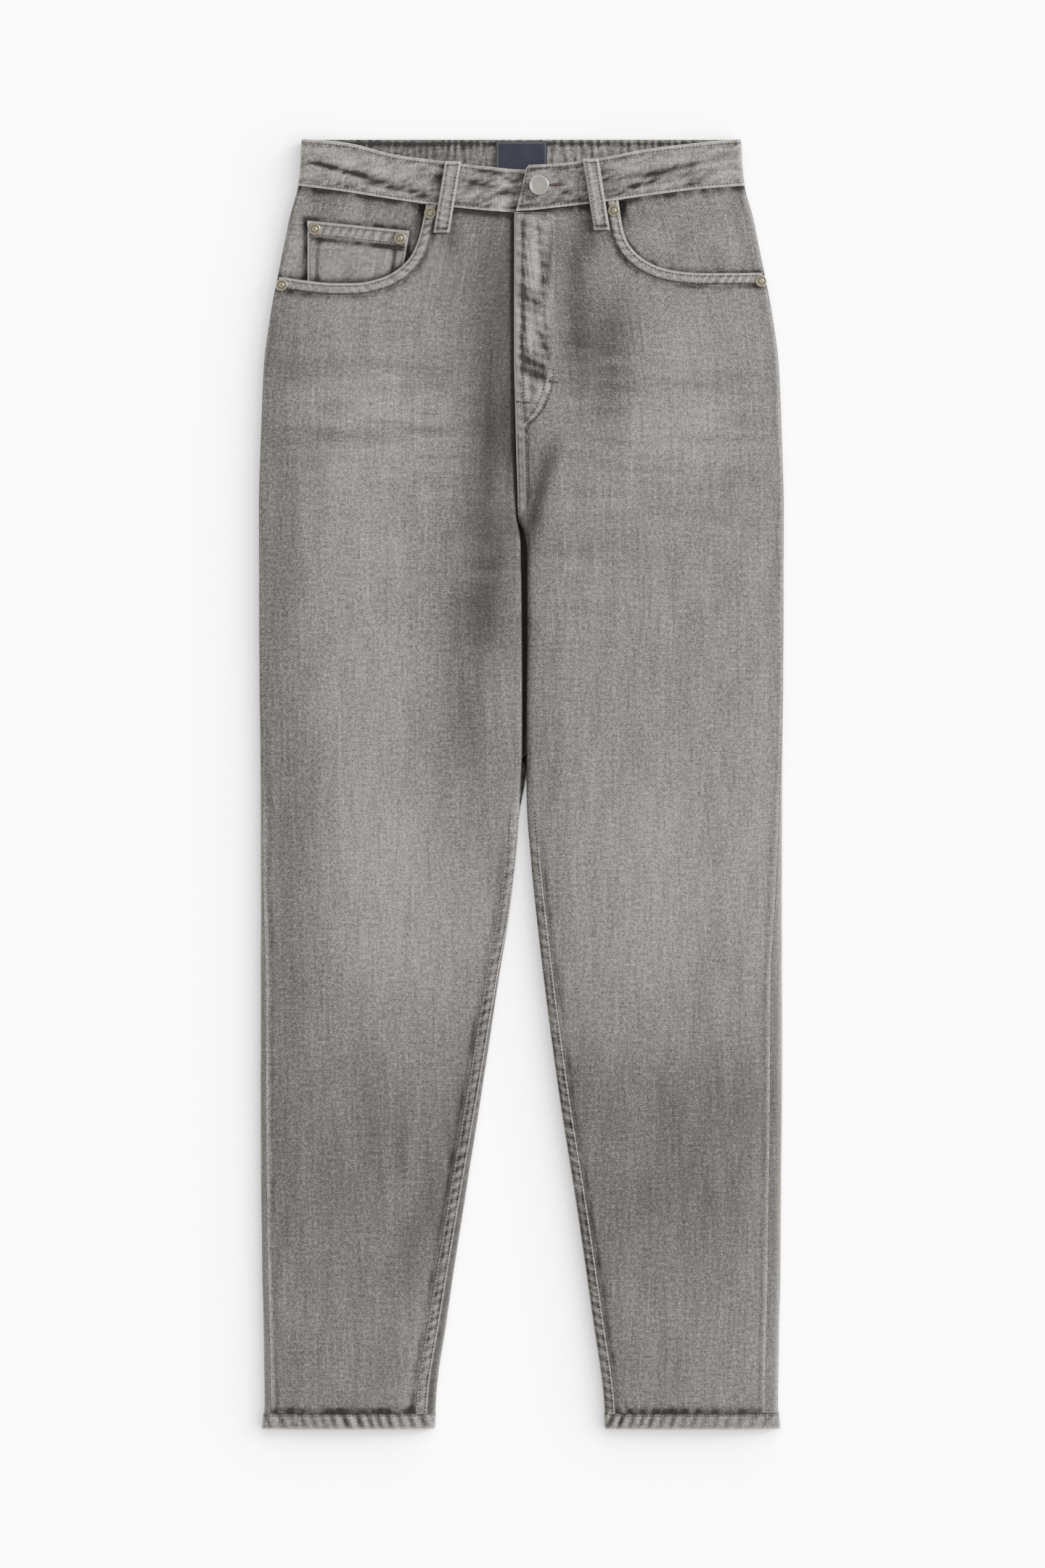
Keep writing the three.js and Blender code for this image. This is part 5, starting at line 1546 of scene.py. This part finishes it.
@dataclass
class CoinPocket:
    """The small patch pocket on the right facing."""

    room: Workroom
    facing: PocketFacing
    inner_top: float = 93.1
    inner_bottom: float = 101.0
    bottom: float = 402.0
    hem: float = 12.6
    cut: Cut = Cut(0.085, 0.068, 0.85)

    def build(self) -> bpy.types.Object:
        """Makes the coin pocket and its stitches."""
        room, side = self.room, Side.RIGHT
        across = graded(COIN_WIDTH, 1.7, (0.5, 1.2, 2.2))
        top = blend(*COIN_TOP, across)[:, None]
        down = graded(60.0, 1.4, (0.5, 1.2, 2.2))[::-1][None]
        y = top - (top - self.bottom) * down
        m = blend(COIN_OUTER, blend(self.inner_top, self.inner_bottom, down), across[:, None])
        ring = room.form.ring_at(side, m, y)
        x = -m
        below = top - y
        hem = 1 - ease((below - self.hem + 0.8) / 1.4)
        ridge = room.rope(x, below, 6.8, 0.5, 51.0)
        band = arch(below / self.hem) * hem
        over = -self.facing.sunk(m, y) + DENIM_THICK + 0.1 + 0.55 * hem + 0.2 * ridge * band
        sides = from_ends(across, COIN_WIDTH)[:, None]
        over = over + 0.16 * room.rope(y, sides, 8.0, 0.4, 53.0) * bell(sides, 5)
        patchy = room.patchy(x, y, 0.85)
        tone = 0.33 + 0.03 * room.slub(x / 9 + 9, y / 30) + 0.2 * ridge * band
        tone = tone - 0.4 * patchy * bell(below - self.hem, 2.2, 1.5)
        tone -= 0.2 * bell(below, 0.9, 2.4)
        tone -= 0.24 * patchy * bell(sides, 2.0, 9) * (1 - hem)
        # painted shadow under the pocket mouth's raised edge
        tone -= 0.3 * bell(y - MOUTH_Y[side](m), 5)
        wear = 0.5 * bell(below, 1.6) + 0.4 * bell(sides, 1.4)
        wear += 0.16 * np.clip(ridge, 0, 1) * band
        patch = room.patch(side, ring, y, over, DENIM_THICK + 0.4, tone, wear, 9.0)
        return room.make("denim_coin_pocket", "coin_pocket", self.cut, "pocket_facing_right", [patch], self.sew)

    def sew(self, sewing: Stitching) -> None:
        """Two rows under the mouth and two down each side."""
        for drop in (2.2, 10.6):
            m = np.linspace(COIN_OUTER - 2, self.inner_top + 2, 40)
            sewing.row(self.near(m, blend(*COIN_TOP, np.linspace(0.02, 0.98, 40)) - drop))
        drop = np.linspace(3, 50, 24)
        for inset in (1.9, 7.6):
            sewing.row(self.near(np.full(24, COIN_OUTER - inset), COIN_TOP[0] - drop))
            slant = blend(self.inner_top, self.inner_bottom, drop / 60) + inset
            sewing.row(self.near(slant, COIN_TOP[1] - drop))

    def near(self, m: Array, y: Array) -> Array:
        """Points just over the pocket from distances and heights."""
        return self.room.form.lifted(Side.RIGHT, self.room.form.ring_at(Side.RIGHT, m, y), y, 1.0)


@dataclass
class Waistband:
    """The waistband: one strip from the button tab round the back to the underlap."""

    room: Workroom
    cut: Cut = Cut(0.76, 0.042, 0.95)
    tab_slant: float = 3.7
    tab_end: float = -0.4
    underlap: float = -26.0
    rows: Array = field(default_factory=lambda: graded(BAND_HEIGHT, 1.6, (0.4, 0.9, 1.7, 2.8)))

    def column(self, m: Array, y: Array) -> Array:
        """A station's distance from the centre at each height: it fans out towards the side."""
        return m + (OUT(y) - OUT(BAND_MIDDLE)) * ease((m - 60) / 90)

    def edges(self, side: Side, m: Array) -> tuple[Array, Array]:
        """The heights of the band's lower and upper edges in front."""
        low = high = np.full_like(m, 480.0)
        for _ in range(8):
            low = BAND_BOTTOM[side](self.column(m, low))
            high = BAND_TOP[side](self.column(m, high))
        return low, high

    def front(self, side: Side, stations: Array) -> tuple[Array, Array, Array]:
        """The points, normals and heights of the front stations of one side."""
        form, rows = self.room.form, self.rows
        low, high = self.edges(side, stations)
        if side is Side.LEFT:
            high = high - 5.0 * (1 - quarter((stations - self.tab_end) / 6.0))
        y = blend(low[:, None], high[:, None], rows[None])
        slant = np.where((stations < 8) & (side is Side.LEFT), 1.0, 0.0)[:, None]
        slant = slant * (1 - ease((stations[:, None] - self.tab_end) / 8)) * self.tab_slant
        m = self.column(stations[:, None], y) + slant * (2 * rows[None] - 1)
        nearest = -6.0 if side is Side.LEFT else 6.6
        point, normal = form.place(side, form.ring_at(side, np.maximum(m, nearest), y), y)
        if side is Side.RIGHT:
            beyond = (m < nearest)[..., None]
            other, other_normal = form.place(Side.LEFT, form.ring_at(Side.LEFT, np.maximum(-m, -6.0), y), y)
            point = np.where(beyond, other, point)
            normal = np.where(beyond, other_normal, normal)
        return point, normal, y

    def back(self, side: Side, rings: Array) -> tuple[Array, Array, Array]:
        """The same of stations that run from the side fold underneath to the centre."""
        y = np.broadcast_to(blend(END - BAND_BACK_HEIGHT, END, self.rows)[None], (len(rings), len(self.rows)))
        return *self.room.form.place(side, rings[:, None], y), y

    def stations(self) -> tuple[Array, dict[Side, Array], Array]:
        """The stations round the band: front left, both halves of the back, and front right."""
        reach = float(OUT(BAND_MIDDLE))
        corner = np.array([14, 11, 8.5, 6.6, 5.2, 4.2, 3.3, 2.5, 1.8, 1.2, 0.7, 0.3])
        tab = np.array([-0.4, 0.1, 0.7, 1.5, 2.6, 4, 6, 8.5])
        left = np.concatenate([tab, np.linspace(11, reach - 16, 80), reach - corner])
        near = np.array([0.0, 0.4, 0.9, 1.5, 2.2, 3, 4, 5.2, 6.6, 8.5, 11, 14])
        under = {s: float(self.room.form.under_length(s, np.array(END - BAND_BACK_HEIGHT))) for s in Side}
        back = {s: -np.concatenate([near, np.linspace(17, under[s] - 5, 62)]) for s in Side}
        lap = np.linspace(self.underlap, 20, 24)
        right = np.concatenate([lap, np.linspace(22.4, reach - 16, 74), reach - corner])
        return left, back, right

    def build(self) -> bpy.types.Object:
        """Makes the waistband and its stitches."""
        room = self.room
        left, back, right = self.stations()
        parts = [
            self.front(Side.LEFT, left),
            self.back(Side.LEFT, back[Side.LEFT]),
            self.back(Side.RIGHT, back[Side.RIGHT][::-1]),
            self.front(Side.RIGHT, right[::-1]),
        ]
        points, normals, y = (np.concatenate(group) for group in zip(*parts))
        counts = [len(part[0]) for part in parts]
        part = np.repeat(np.arange(4), counts)[:, None]
        is_right = part == 3
        is_front = is_right | (part == 0)
        x = points[..., 0]
        v = np.broadcast_to(self.rows[None], y.shape)
        low, high = v * BAND_HEIGHT, (1 - v) * BAND_HEIGHT
        near_edge = bell(low, 4.5) + bell(high, 4.5)
        along = np.cumsum(np.linalg.norm(np.diff(points[:, 10], axis=0, prepend=points[:1, 10]), axis=-1))
        along = np.broadcast_to(along[:, None], y.shape)
        ridge = room.rope(along, low, 7.2, 0.35, 61.0)
        bars = room.rope(along, low, 4.8, 0.1, 63.0)
        creases = summed(BAND_CREASES, x, y) * ease(np.minimum(low, high) / 6)
        drop = np.where(is_right, (BAND_THICK + GAP) * ease((22 + x) / 14), 0.0)
        rise = BAND_PROUD - 0.3 * bell(low, 1.2) + 0.2 * ridge * near_edge
        over = np.where(is_front, rise + creases + 0.2 * room.crease(x / 18, y / 12) - drop, 0.0)
        under = over + (-BAND_THICK + 0.3 * bars * ~is_front)
        scratch = room.slub((x + 2.2 * y) / 12, (x * 0.4 - y) / 2.4)
        mottle = 0.19 * scratch + 0.08 * room.crease(along / 13, v * 5) - 0.1 * np.exp(-((x / 60) ** 4))
        # the band's tone follows its creases: painted shade in them, partly wash kept in the folds, and lighter
        # on its one raised crease
        tone = 0.42 + mottle + 0.17 * ridge * near_edge + 0.55 * creases
        # painted shadow on the band beside each belt loop
        for mark in (-61.0, 61.0):
            tone = tone - 0.26 * bell(x - mark, 9)
        tone = tone - 0.24 * (bell(low, 1.3, 3.4) + bell(high, 1.3, 3.4))
        # painted light and shade: the inside of the back is lighter towards the wearer's left and darker
        # towards the right, as the light falls across it
        inner = 0.225 + 0.045 * np.tanh(x / 60) + 0.2 * bars - 0.25 * bell(high, 1.8, 3)
        tone = np.where(is_front, tone, inner + 0.08 * scratch)
        wear = 0.34 * bell(high, 2.0) + 0.5 * bell(low, 2.2)
        wear = wear * np.where(is_front, 1.0, 0.35)
        tab_edge = np.where(part == 0, bell(along - along[0, 0], 1.6), 0.0)
        wear = np.clip(wear + 0.3 * tab_edge, 0, 0.6)
        cloth = np.stack([y, along, np.full(y.shape, 10.0)], axis=-1)
        patches = [Patch(points, normals, over, under, cloth, tone, wear)]
        names, below = ("denim_waistband", "waistband"), ("yoke_right", "yoke_left")
        sew = partial(self.sew, counts)
        return room.make(*names, self.cut, below, patches, sew, "denim_band")

    def sew(self, counts: Sequence[int], sewing: Stitching) -> None:
        """The rows along both edges, the tab's end and the buttonhole.

        Args:
            counts: how many stations each part of the band has.
            sewing: the stitches on the band.
        """
        patch = sewing.cloth.patches[0]
        skin = patch.skin() + patch.normals * 0.8

        def at(share: float, column: Array) -> list[float]:
            """The point at a share of a station's height."""
            return [np.interp(share, self.rows, column[:, axis]) for axis in range(3)]

        last_front = sum(counts[:3])
        spans = (slice(3, counts[0]), slice(counts[0], last_front), slice(last_front, sum(counts) - 24))
        for drop in (2.3, 34.7):
            for span in spans:
                sewing.row(np.array([at(drop / BAND_HEIGHT, column) for column in skin[span]]))
        sewing.row(np.array([at(share, skin[4]) for share in np.linspace(0.08, 0.88, 20)]))
        sewing.bar_tack((22.6, 493.5, 14.0), (32.4, 493.7, 14.0), 2.6, 22)


@dataclass
class BeltLoop:
    """A belt loop on the front, from the waistband's upper edge down on to the panel."""

    room: Workroom
    side: Side
    top: tuple[float, float]
    bottom: tuple[float, float]
    bulge: float = 1.9
    length: float = 58.0
    cut: Cut = Cut(0.0135, 0.06, 1.0)

    def build(self) -> bpy.types.Object:
        """Makes the loop and its stitches."""
        room, side = self.room, self.side
        t = graded(self.length, 1.3, (0.4, 0.9, 1.6))[:, None]
        down, up = t * self.length, (1 - t) * self.length
        across = graded(LOOP_WIDTH, 0.9, (0.35, 0.8, 1.5))[None]
        m = blend(self.top[0], self.bottom[0], t) + (across - 0.5) * LOOP_WIDTH
        y = blend(self.top[1], self.bottom[1], t) + 0 * m
        ring = room.form.ring_at(side, m, y)
        rise = self.bulge * arch(t, 0.6)
        edge = from_ends(across, LOOP_WIDTH)
        ridge = room.rope(down, across * 12, 5.6, 0.3, 71.0 + side.value)
        roll = 0.35 * (quarter(edge / 1.6) - 1)
        over = 0.7 + LOOP_THICK + rise + roll + 0.16 * ridge * bell(edge, 2.5, 3)
        over = over - 0.3 * bell(edge - LOOP_WIDTH / 2, 2)
        over = over - 0.7 * bell(down, 2.6) - 0.5 * bell(up, 2.6)
        tone = 0.46 + 0.18 * ridge + 0.06 * room.slub(across * 4, t * 9) - 0.28 * bell(edge, 0.8, 2.6)
        tone = tone - 0.3 * bell(up, 5) * bell(edge, 2.5, 5)
        wear = 0.45 * bell(edge, 1.3) + 0.4 * bell(down, 1.5)
        wear = np.clip(wear + 0.4 * bell(up, 1.6), 0, 0.6)
        patch = room.patch(side, ring, y, over, LOOP_THICK, tone, wear, 12.0 + side.value)
        names = f"denim_loop_front_{side.tag}", f"belt_loop_front_{side.tag}"
        return room.make(*names, self.cut, "waistband", [patch], self.sew)

    def sew(self, sewing: Stitching) -> None:
        """A row along each edge and a bar across each end."""
        skin = sewing.cloth.patches[0].skin() + np.array([0, 0, 1.0])
        columns = skin.shape[1]
        for share in (0.22, 0.78):
            sewing.row(skin[2:-2, int(share * (columns - 1))], 2.9, 2.3)
        for row in (4, -5):
            sewing.bar_tack(skin[row, 2], skin[row, -3], 1.5, 12)


class Underside:
    """The pieces that lie under the seat: two patch pockets and three belt loops."""

    POCKET = ((-67.0, 0.0), (-56.0, -118.0), (0.0, -146.0), (56.0, -118.0), (67.0, 0.0))
    POCKET_X = 98.0
    POCKET_TOP = 412.0
    LOOPS = (-100.0, 0.0, 100.0)
    LOOP_LENGTH = 57.0
    SEED = 14.0

    def __init__(self, room: Workroom) -> None:
        """Keeps the workroom."""
        self.room = room

    def pocket(self, side: Side) -> bpy.types.Object:
        """A pointed back pocket with a hemmed mouth."""
        u = graded(134.0, 3.0, (0.5, 1.3, 2.5))[:, None]
        v = graded(140.0, 3.0, (0.5, 1.3, 2.5))[None]
        half = blend(67.0, 56.0, v)
        bottom = -118.0 - 28.0 * (1 - np.abs(2 * u - 1))
        x = side.value * self.POCKET_X + (2 * u - 1) * half
        y = self.POCKET_TOP + v * bottom
        edge = np.minimum(from_ends(u, 125), (1 - v) * 130)
        below = -v * bottom
        ridge = self.room.rope(x + y, edge, 8.0, 0.3, 81.0)
        dent = 0.12 + 0.1 * ridge * bell(edge, 5) + 0.0 * x
        tone = 0.33 + 0.03 * self.room.slub(x / 12, y / 40) - 0.14 * bell(edge, 2.5, 8)
        tone = tone - 0.12 * bell(below, 2, 17) + 0.07 * ridge * bell(edge, 5)
        wear = 0.4 * bell(edge, 1.3) + 0.45 * bell(below, 1.6)
        patch = level_patch(x, y, 0.0, -1, -dent, -(DENIM_THICK + 0.1), tone, wear, self.SEED)
        names = f"denim_back_pocket_{side.tag}", f"back_pocket_{side.tag}"
        cut = Cut(0.14, 0.15, 0.86)
        return self.room.make(*names, cut, "table", [patch], partial(self.sew_pocket, side))

    def sew_pocket(self, side: Side, sewing: Stitching) -> None:
        """Two rows round a back pocket's edge and two under its mouth."""
        centre = np.array([side.value * self.POCKET_X, self.POCKET_TOP, -1.0])
        for inset in (2.0, 8.0):
            drops = [inset * 1.1 if y < 0 else -1.0 for _, y in self.POCKET]
            shape = [(x - np.sign(x) * inset, y + drop, 0.0) for (x, y), drop in zip(self.POCKET, drops)]
            corners = np.array(shape) + centre
            for a, b in zip(corners[:-1], corners[1:]):
                sewing.row(np.linspace(a, b, 12))
        for drop in (2.5, 15.0):
            line = np.array([[-64.0, -drop, 0.0], [64.0, -drop, 0.0]])
            sewing.row(np.linspace(*(line + centre), 20))

    def loop(self, index: int) -> bpy.types.Object:
        """A belt loop on the back of the waistband."""
        middle = self.LOOPS[index]
        u = graded(LOOP_WIDTH, 1.1, (0.4, 1.0))[:, None]
        v = graded(self.LOOP_LENGTH, 2.0, (0.5, 1.3))[None]
        x = middle + (u - 0.5) * LOOP_WIDTH + 0 * v
        y = END - 1 - v * self.LOOP_LENGTH + 0 * u
        edge = from_ends(u, LOOP_WIDTH)
        ridge = self.room.rope(y, edge, 5.6, 0.3, 91.0 + index)
        dent = 0.1 + 0.3 * (1 - quarter(edge / 1.6)) + 0.05 * ridge
        tone = 0.33 + 0.1 * ridge - 0.12 * bell(edge, 0.9, 2.6)
        wear = 0.45 * bell(edge, 0.9) + 0.0 * v

        def sew(sewing: Stitching) -> None:
            """A row along each edge."""
            for aside in (-3.6, 3.6):
                line = np.array([[middle + aside, END - 4, -1.0], [middle + aside, END - 55, -1.0]])
                sewing.row(np.linspace(*line, 20), 2.9, 2.3)

        names = f"denim_loop_back_{index + 1}", f"belt_loop_back_{index + 1}"
        patch = level_patch(x, y, 0.0, -1, -dent, -DENIM_THICK, tone, wear, self.SEED)
        return self.room.make(*names, Cut(0.0135, 0.058, 1.0), "table", [patch], sew)


@dataclass
class WaistLabel:
    """The plain woven label inside the back of the waistband."""

    room: Workroom
    width: float = 42.0
    height: float = 33.0
    below: float = 1.2
    thick: float = 0.5

    def build(self) -> bpy.types.Object:
        """Makes the label, with a woven border line."""
        u = graded(self.width, 0.8, (0.3, 0.7, 1.2))[:, None]
        v = graded(self.height, 0.8, (0.3, 0.7, 1.2))[None]
        x = (u - 0.5) * self.width + 0 * v
        y = END - self.below - v * self.height + 0 * u
        edge = np.minimum(from_ends(u, self.width), from_ends(v, self.height))
        over = self.thick + 0.16 * self.room.crease(x / 9, y / 9) + 0.1 * quarter(edge / 1.2)
        line = ease((edge - 1.1) / 0.25) * (1 - ease((edge - 1.75) / 0.25))
        z = SEAT_LIFT + BAND_THICK + 0.35
        patch = level_patch(x, y, z, 1, over, 0.0, np.full(x.shape, 0.5), line, 0.0)
        names, cut = ("woven_waist_label", "waist_label"), Cut(0.042, 0.033, 1.0)
        return self.room.make(*names, cut, "waistband", [patch], slot="label_cloth")


@dataclass(frozen=True)
class Turned:
    """A metal fastening turned about its axis: radius, height and how bright it is rubbed."""

    name: str
    node: str
    slot: str
    profile: Rows
    segments: int = 64

    def build(self, centre: Vector, axis: Vector, material: bpy.types.Material) -> bpy.types.Object:
        """Makes the piece, standing on its centre along its axis."""
        turn = (np.arange(self.segments) / self.segments * math.tau)[:, None]
        upright = np.array(axis.normalized())
        first = np.cross(upright, [0, 1, 0])
        first /= np.linalg.norm(first)
        circle = np.cos(turn) * first + np.sin(turn) * np.cross(upright, first)
        points, quads, wear = [], [], []
        this = np.arange(self.segments)
        after = np.roll(this, -1)
        for index, (radius, height, bright) in enumerate(self.profile):
            points.append(np.array(centre) + radius * circle + height * upright)
            wear.append(np.full(self.segments, bright))
            low, high = index * self.segments, (index + 1) * self.segments
            quads.append(np.stack([this + low, after + low, after + high, this + high], axis=1))
        mesh = quad_mesh(self.name, np.concatenate(points), np.concatenate(quads[:-1]))
        give(mesh, "wear", np.concatenate(wear))
        thing = shown(mesh, material)
        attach(thing, "root")
        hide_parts(self.node)
        return thing


BUTTON_PROFILE: Rows = (
    (0.05, 0.0, 0.2), (3.6, 0.0, 0.2), (3.7, 1.2, 0.2), (7.4, 1.35, 0.3), (8.1, 1.7, 0.6), (8.2, 2.3, 0.8),
    (8.05, 2.9, 1.0), (7.6, 3.3, 1.0), (7.0, 3.4, 0.9), (6.5, 3.25, 0.5), (6.2, 2.95, 0.2), (5.9, 2.9, 0.2),
    (5.6, 3.0, 0.6), (5.2, 3.05, 0.8), (4.8, 2.95, 0.5), (4.4, 2.85, 0.3), (3.2, 2.9, 0.6), (2.6, 3.0, 0.8),
    (2.2, 2.92, 0.5), (1.2, 2.95, 0.7), (0.05, 3.0, 0.8),
)

RIVET_PROFILE: Rows = (
    (0.05, 0.0, 0.1), (4.6, 0.0, 0.1), (4.9, 0.15, 0.5), (4.95, 0.45, 0.9), (4.6, 0.8, 1.0),
    (4.1, 0.95, 0.8), (3.5, 0.9, 0.4), (2.9, 0.72, 0.15), (2.4, 0.68, 0.1), (2.05, 0.85, 0.4),
    (1.75, 1.35, 0.9), (1.3, 1.62, 1.0), (0.7, 1.5, 0.4), (0.3, 1.25, 0.1), (0.05, 1.2, 0.1),
)


class Fastenings:
    """The shank button and the six rivets, each on its own node's place."""

    RIVETS = (
        "rivet_mouth_right_inner",
        "rivet_mouth_right_side",
        "rivet_mouth_left_inner",
        "rivet_mouth_left_side",
        "rivet_coin_outer",
        "rivet_coin_inner",
    )

    def __init__(self, room: Workroom) -> None:
        """Keeps the workroom."""
        self.room = room

    def seat(self, node: str) -> tuple[float, float]:
        """The middle of a node, in mm."""
        low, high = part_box(node)
        return (low[0] + high[0]) / 2 / MM, (low[1] + high[1]) / 2 / MM

    def surface(self, x: float, y: float, cloths: Sequence[bpy.types.Object]) -> float:
        """Height in mm of the highest of some cloths at a place."""
        heights = []
        for cloth in cloths:
            hit, where, _, _ = cloth.ray_cast(Vector((x * MM, y * MM, 0.1)), Vector((0, 0, -1)))
            if hit:
                heights.append(where.z / MM)
        return max(heights)

    def build(self, cloths: Sequence[bpy.types.Object]) -> None:
        """Makes them all, pressed a little into the cloth."""
        x, y = self.seat("shank_button")
        button = Turned("nickel_shank_button", "shank_button", "button_metal", BUTTON_PROFILE)
        height = self.surface(x, y, cloths) - 0.5
        button.build(Vector((x, y, height)), Vector((0, 0, 1)), self.room.finishes.nickel)
        for node in self.RIVETS:
            x, y = self.seat(node)
            rivet = Turned("brass_" + node, node, "rivet_metal", RIVET_PROFILE, 40)
            lean = 0.12 * math.copysign(1, x) if "side" in node else 0.0
            height = self.surface(x, y, cloths) - 0.25
            rivet.build(Vector((x, y, height)), Vector((lean, 0, 1)), self.room.finishes.brass)


class Studio:
    """The pale floor, the soft light and the camera."""

    CAMERA_PLACE = (0.0009, 0.0, 3.06)
    LENS = 85.0
    SENSOR = 36.0
    FAR = 20.0
    FLOOR_SIZE = 6000.0
    FLOOR_DEPTH = 0.3
    ROOM_LIGHT = 1.85
    SUN_TOWARDS = (0.9, 0.4, 0.28)
    SUN_ENERGY = 16.0
    SUN_ANGLE = 14.0

    def build(self) -> None:
        """Sets up the floor, the lights and the camera."""
        self.floor()
        self.light()
        self.camera()

    def floor(self) -> None:
        """A wide flat floor just under the jeans."""
        signs = ((-1, -1), (1, -1), (1, 1), (-1, 1))
        corners = np.array([[x * self.FLOOR_SIZE, y * self.FLOOR_SIZE, -self.FLOOR_DEPTH] for x, y in signs])
        mesh = quad_mesh("floor", corners, np.array([[0, 1, 2, 3]]))
        shown(mesh, FloorFinish().material())

    def light(self) -> None:
        """A bright even room and one low soft light from the upper right."""
        world = bpy.data.worlds.new("room_light")
        world.use_nodes = True
        background = world.node_tree.nodes["Background"]
        background.inputs["Color"].default_value = (1, 1, 1, 1)
        background.inputs["Strength"].default_value = self.ROOM_LIGHT
        bpy.context.scene.world = world
        data = bpy.data.lights.new("key_light", "SUN")
        data.energy = self.SUN_ENERGY
        data.angle = math.radians(self.SUN_ANGLE)
        lamp = self.placed("key_light", data, self.SUN_TOWARDS)
        lamp.rotation_euler = (-Vector(self.SUN_TOWARDS)).to_track_quat("-Z", "Y").to_euler()

    def camera(self) -> None:
        """The camera straight above the middle of the photograph's frame."""
        data = bpy.data.cameras.new("camera")
        data.lens = self.LENS
        data.sensor_width = self.SENSOR
        data.clip_end = self.FAR
        bpy.context.scene.camera = self.placed("camera", data, self.CAMERA_PLACE)

    @staticmethod
    def placed(name: str, data: bpy.types.ID, place: tuple[float, float, float]) -> bpy.types.Object:
        """An object in the scene at a place."""
        thing = bpy.data.objects.new(name, data)
        thing.location = place
        bpy.context.scene.collection.objects.link(thing)
        return thing


def dress_zip(nodes: dict[str, bpy.types.Object], brass: bpy.types.Material) -> None:
    """Gives the hidden zip its metal."""
    nodes["zip"].data.materials.clear()
    nodes["zip"].data.materials.append(brass)


def main() -> None:
    """Builds the whole dressed model in order."""
    logging.basicConfig(level=logging.INFO, format="%(message)s")
    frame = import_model()
    Studio().build()
    room = Workroom(LaidForm(), Finishes())
    cloths: list[bpy.types.Object] = []
    for side in Side:
        facing = PocketFacing(room, side)
        cloths += [BackPanel(room, side).build(), BackPanel(room, side, is_yoke=True).build(), facing.build()]
        if side is Side.RIGHT:
            cloths.append(CoinPocket(room, facing).build())
        cloths.append(FrontPanel(room, side).build())
        LOG.info("sewed the %s half", side.tag)
    cloths.append(Waistband(room).build())
    BeltLoop(room, Side.RIGHT, (56.3, 512.4), (66.0, 454.2)).build()
    BeltLoop(room, Side.LEFT, (56.9, 514.6), (66.1, 456.4)).build()
    underside = Underside(room)
    for side in Side:
        underside.pocket(side)
    for index in range(3):
        underside.loop(index)
    WaistLabel(room).build()
    Fastenings(room).build(cloths)
    dress_zip(frame["nodes"], room.finishes.brass)


if __name__ == "__main__":
    main()
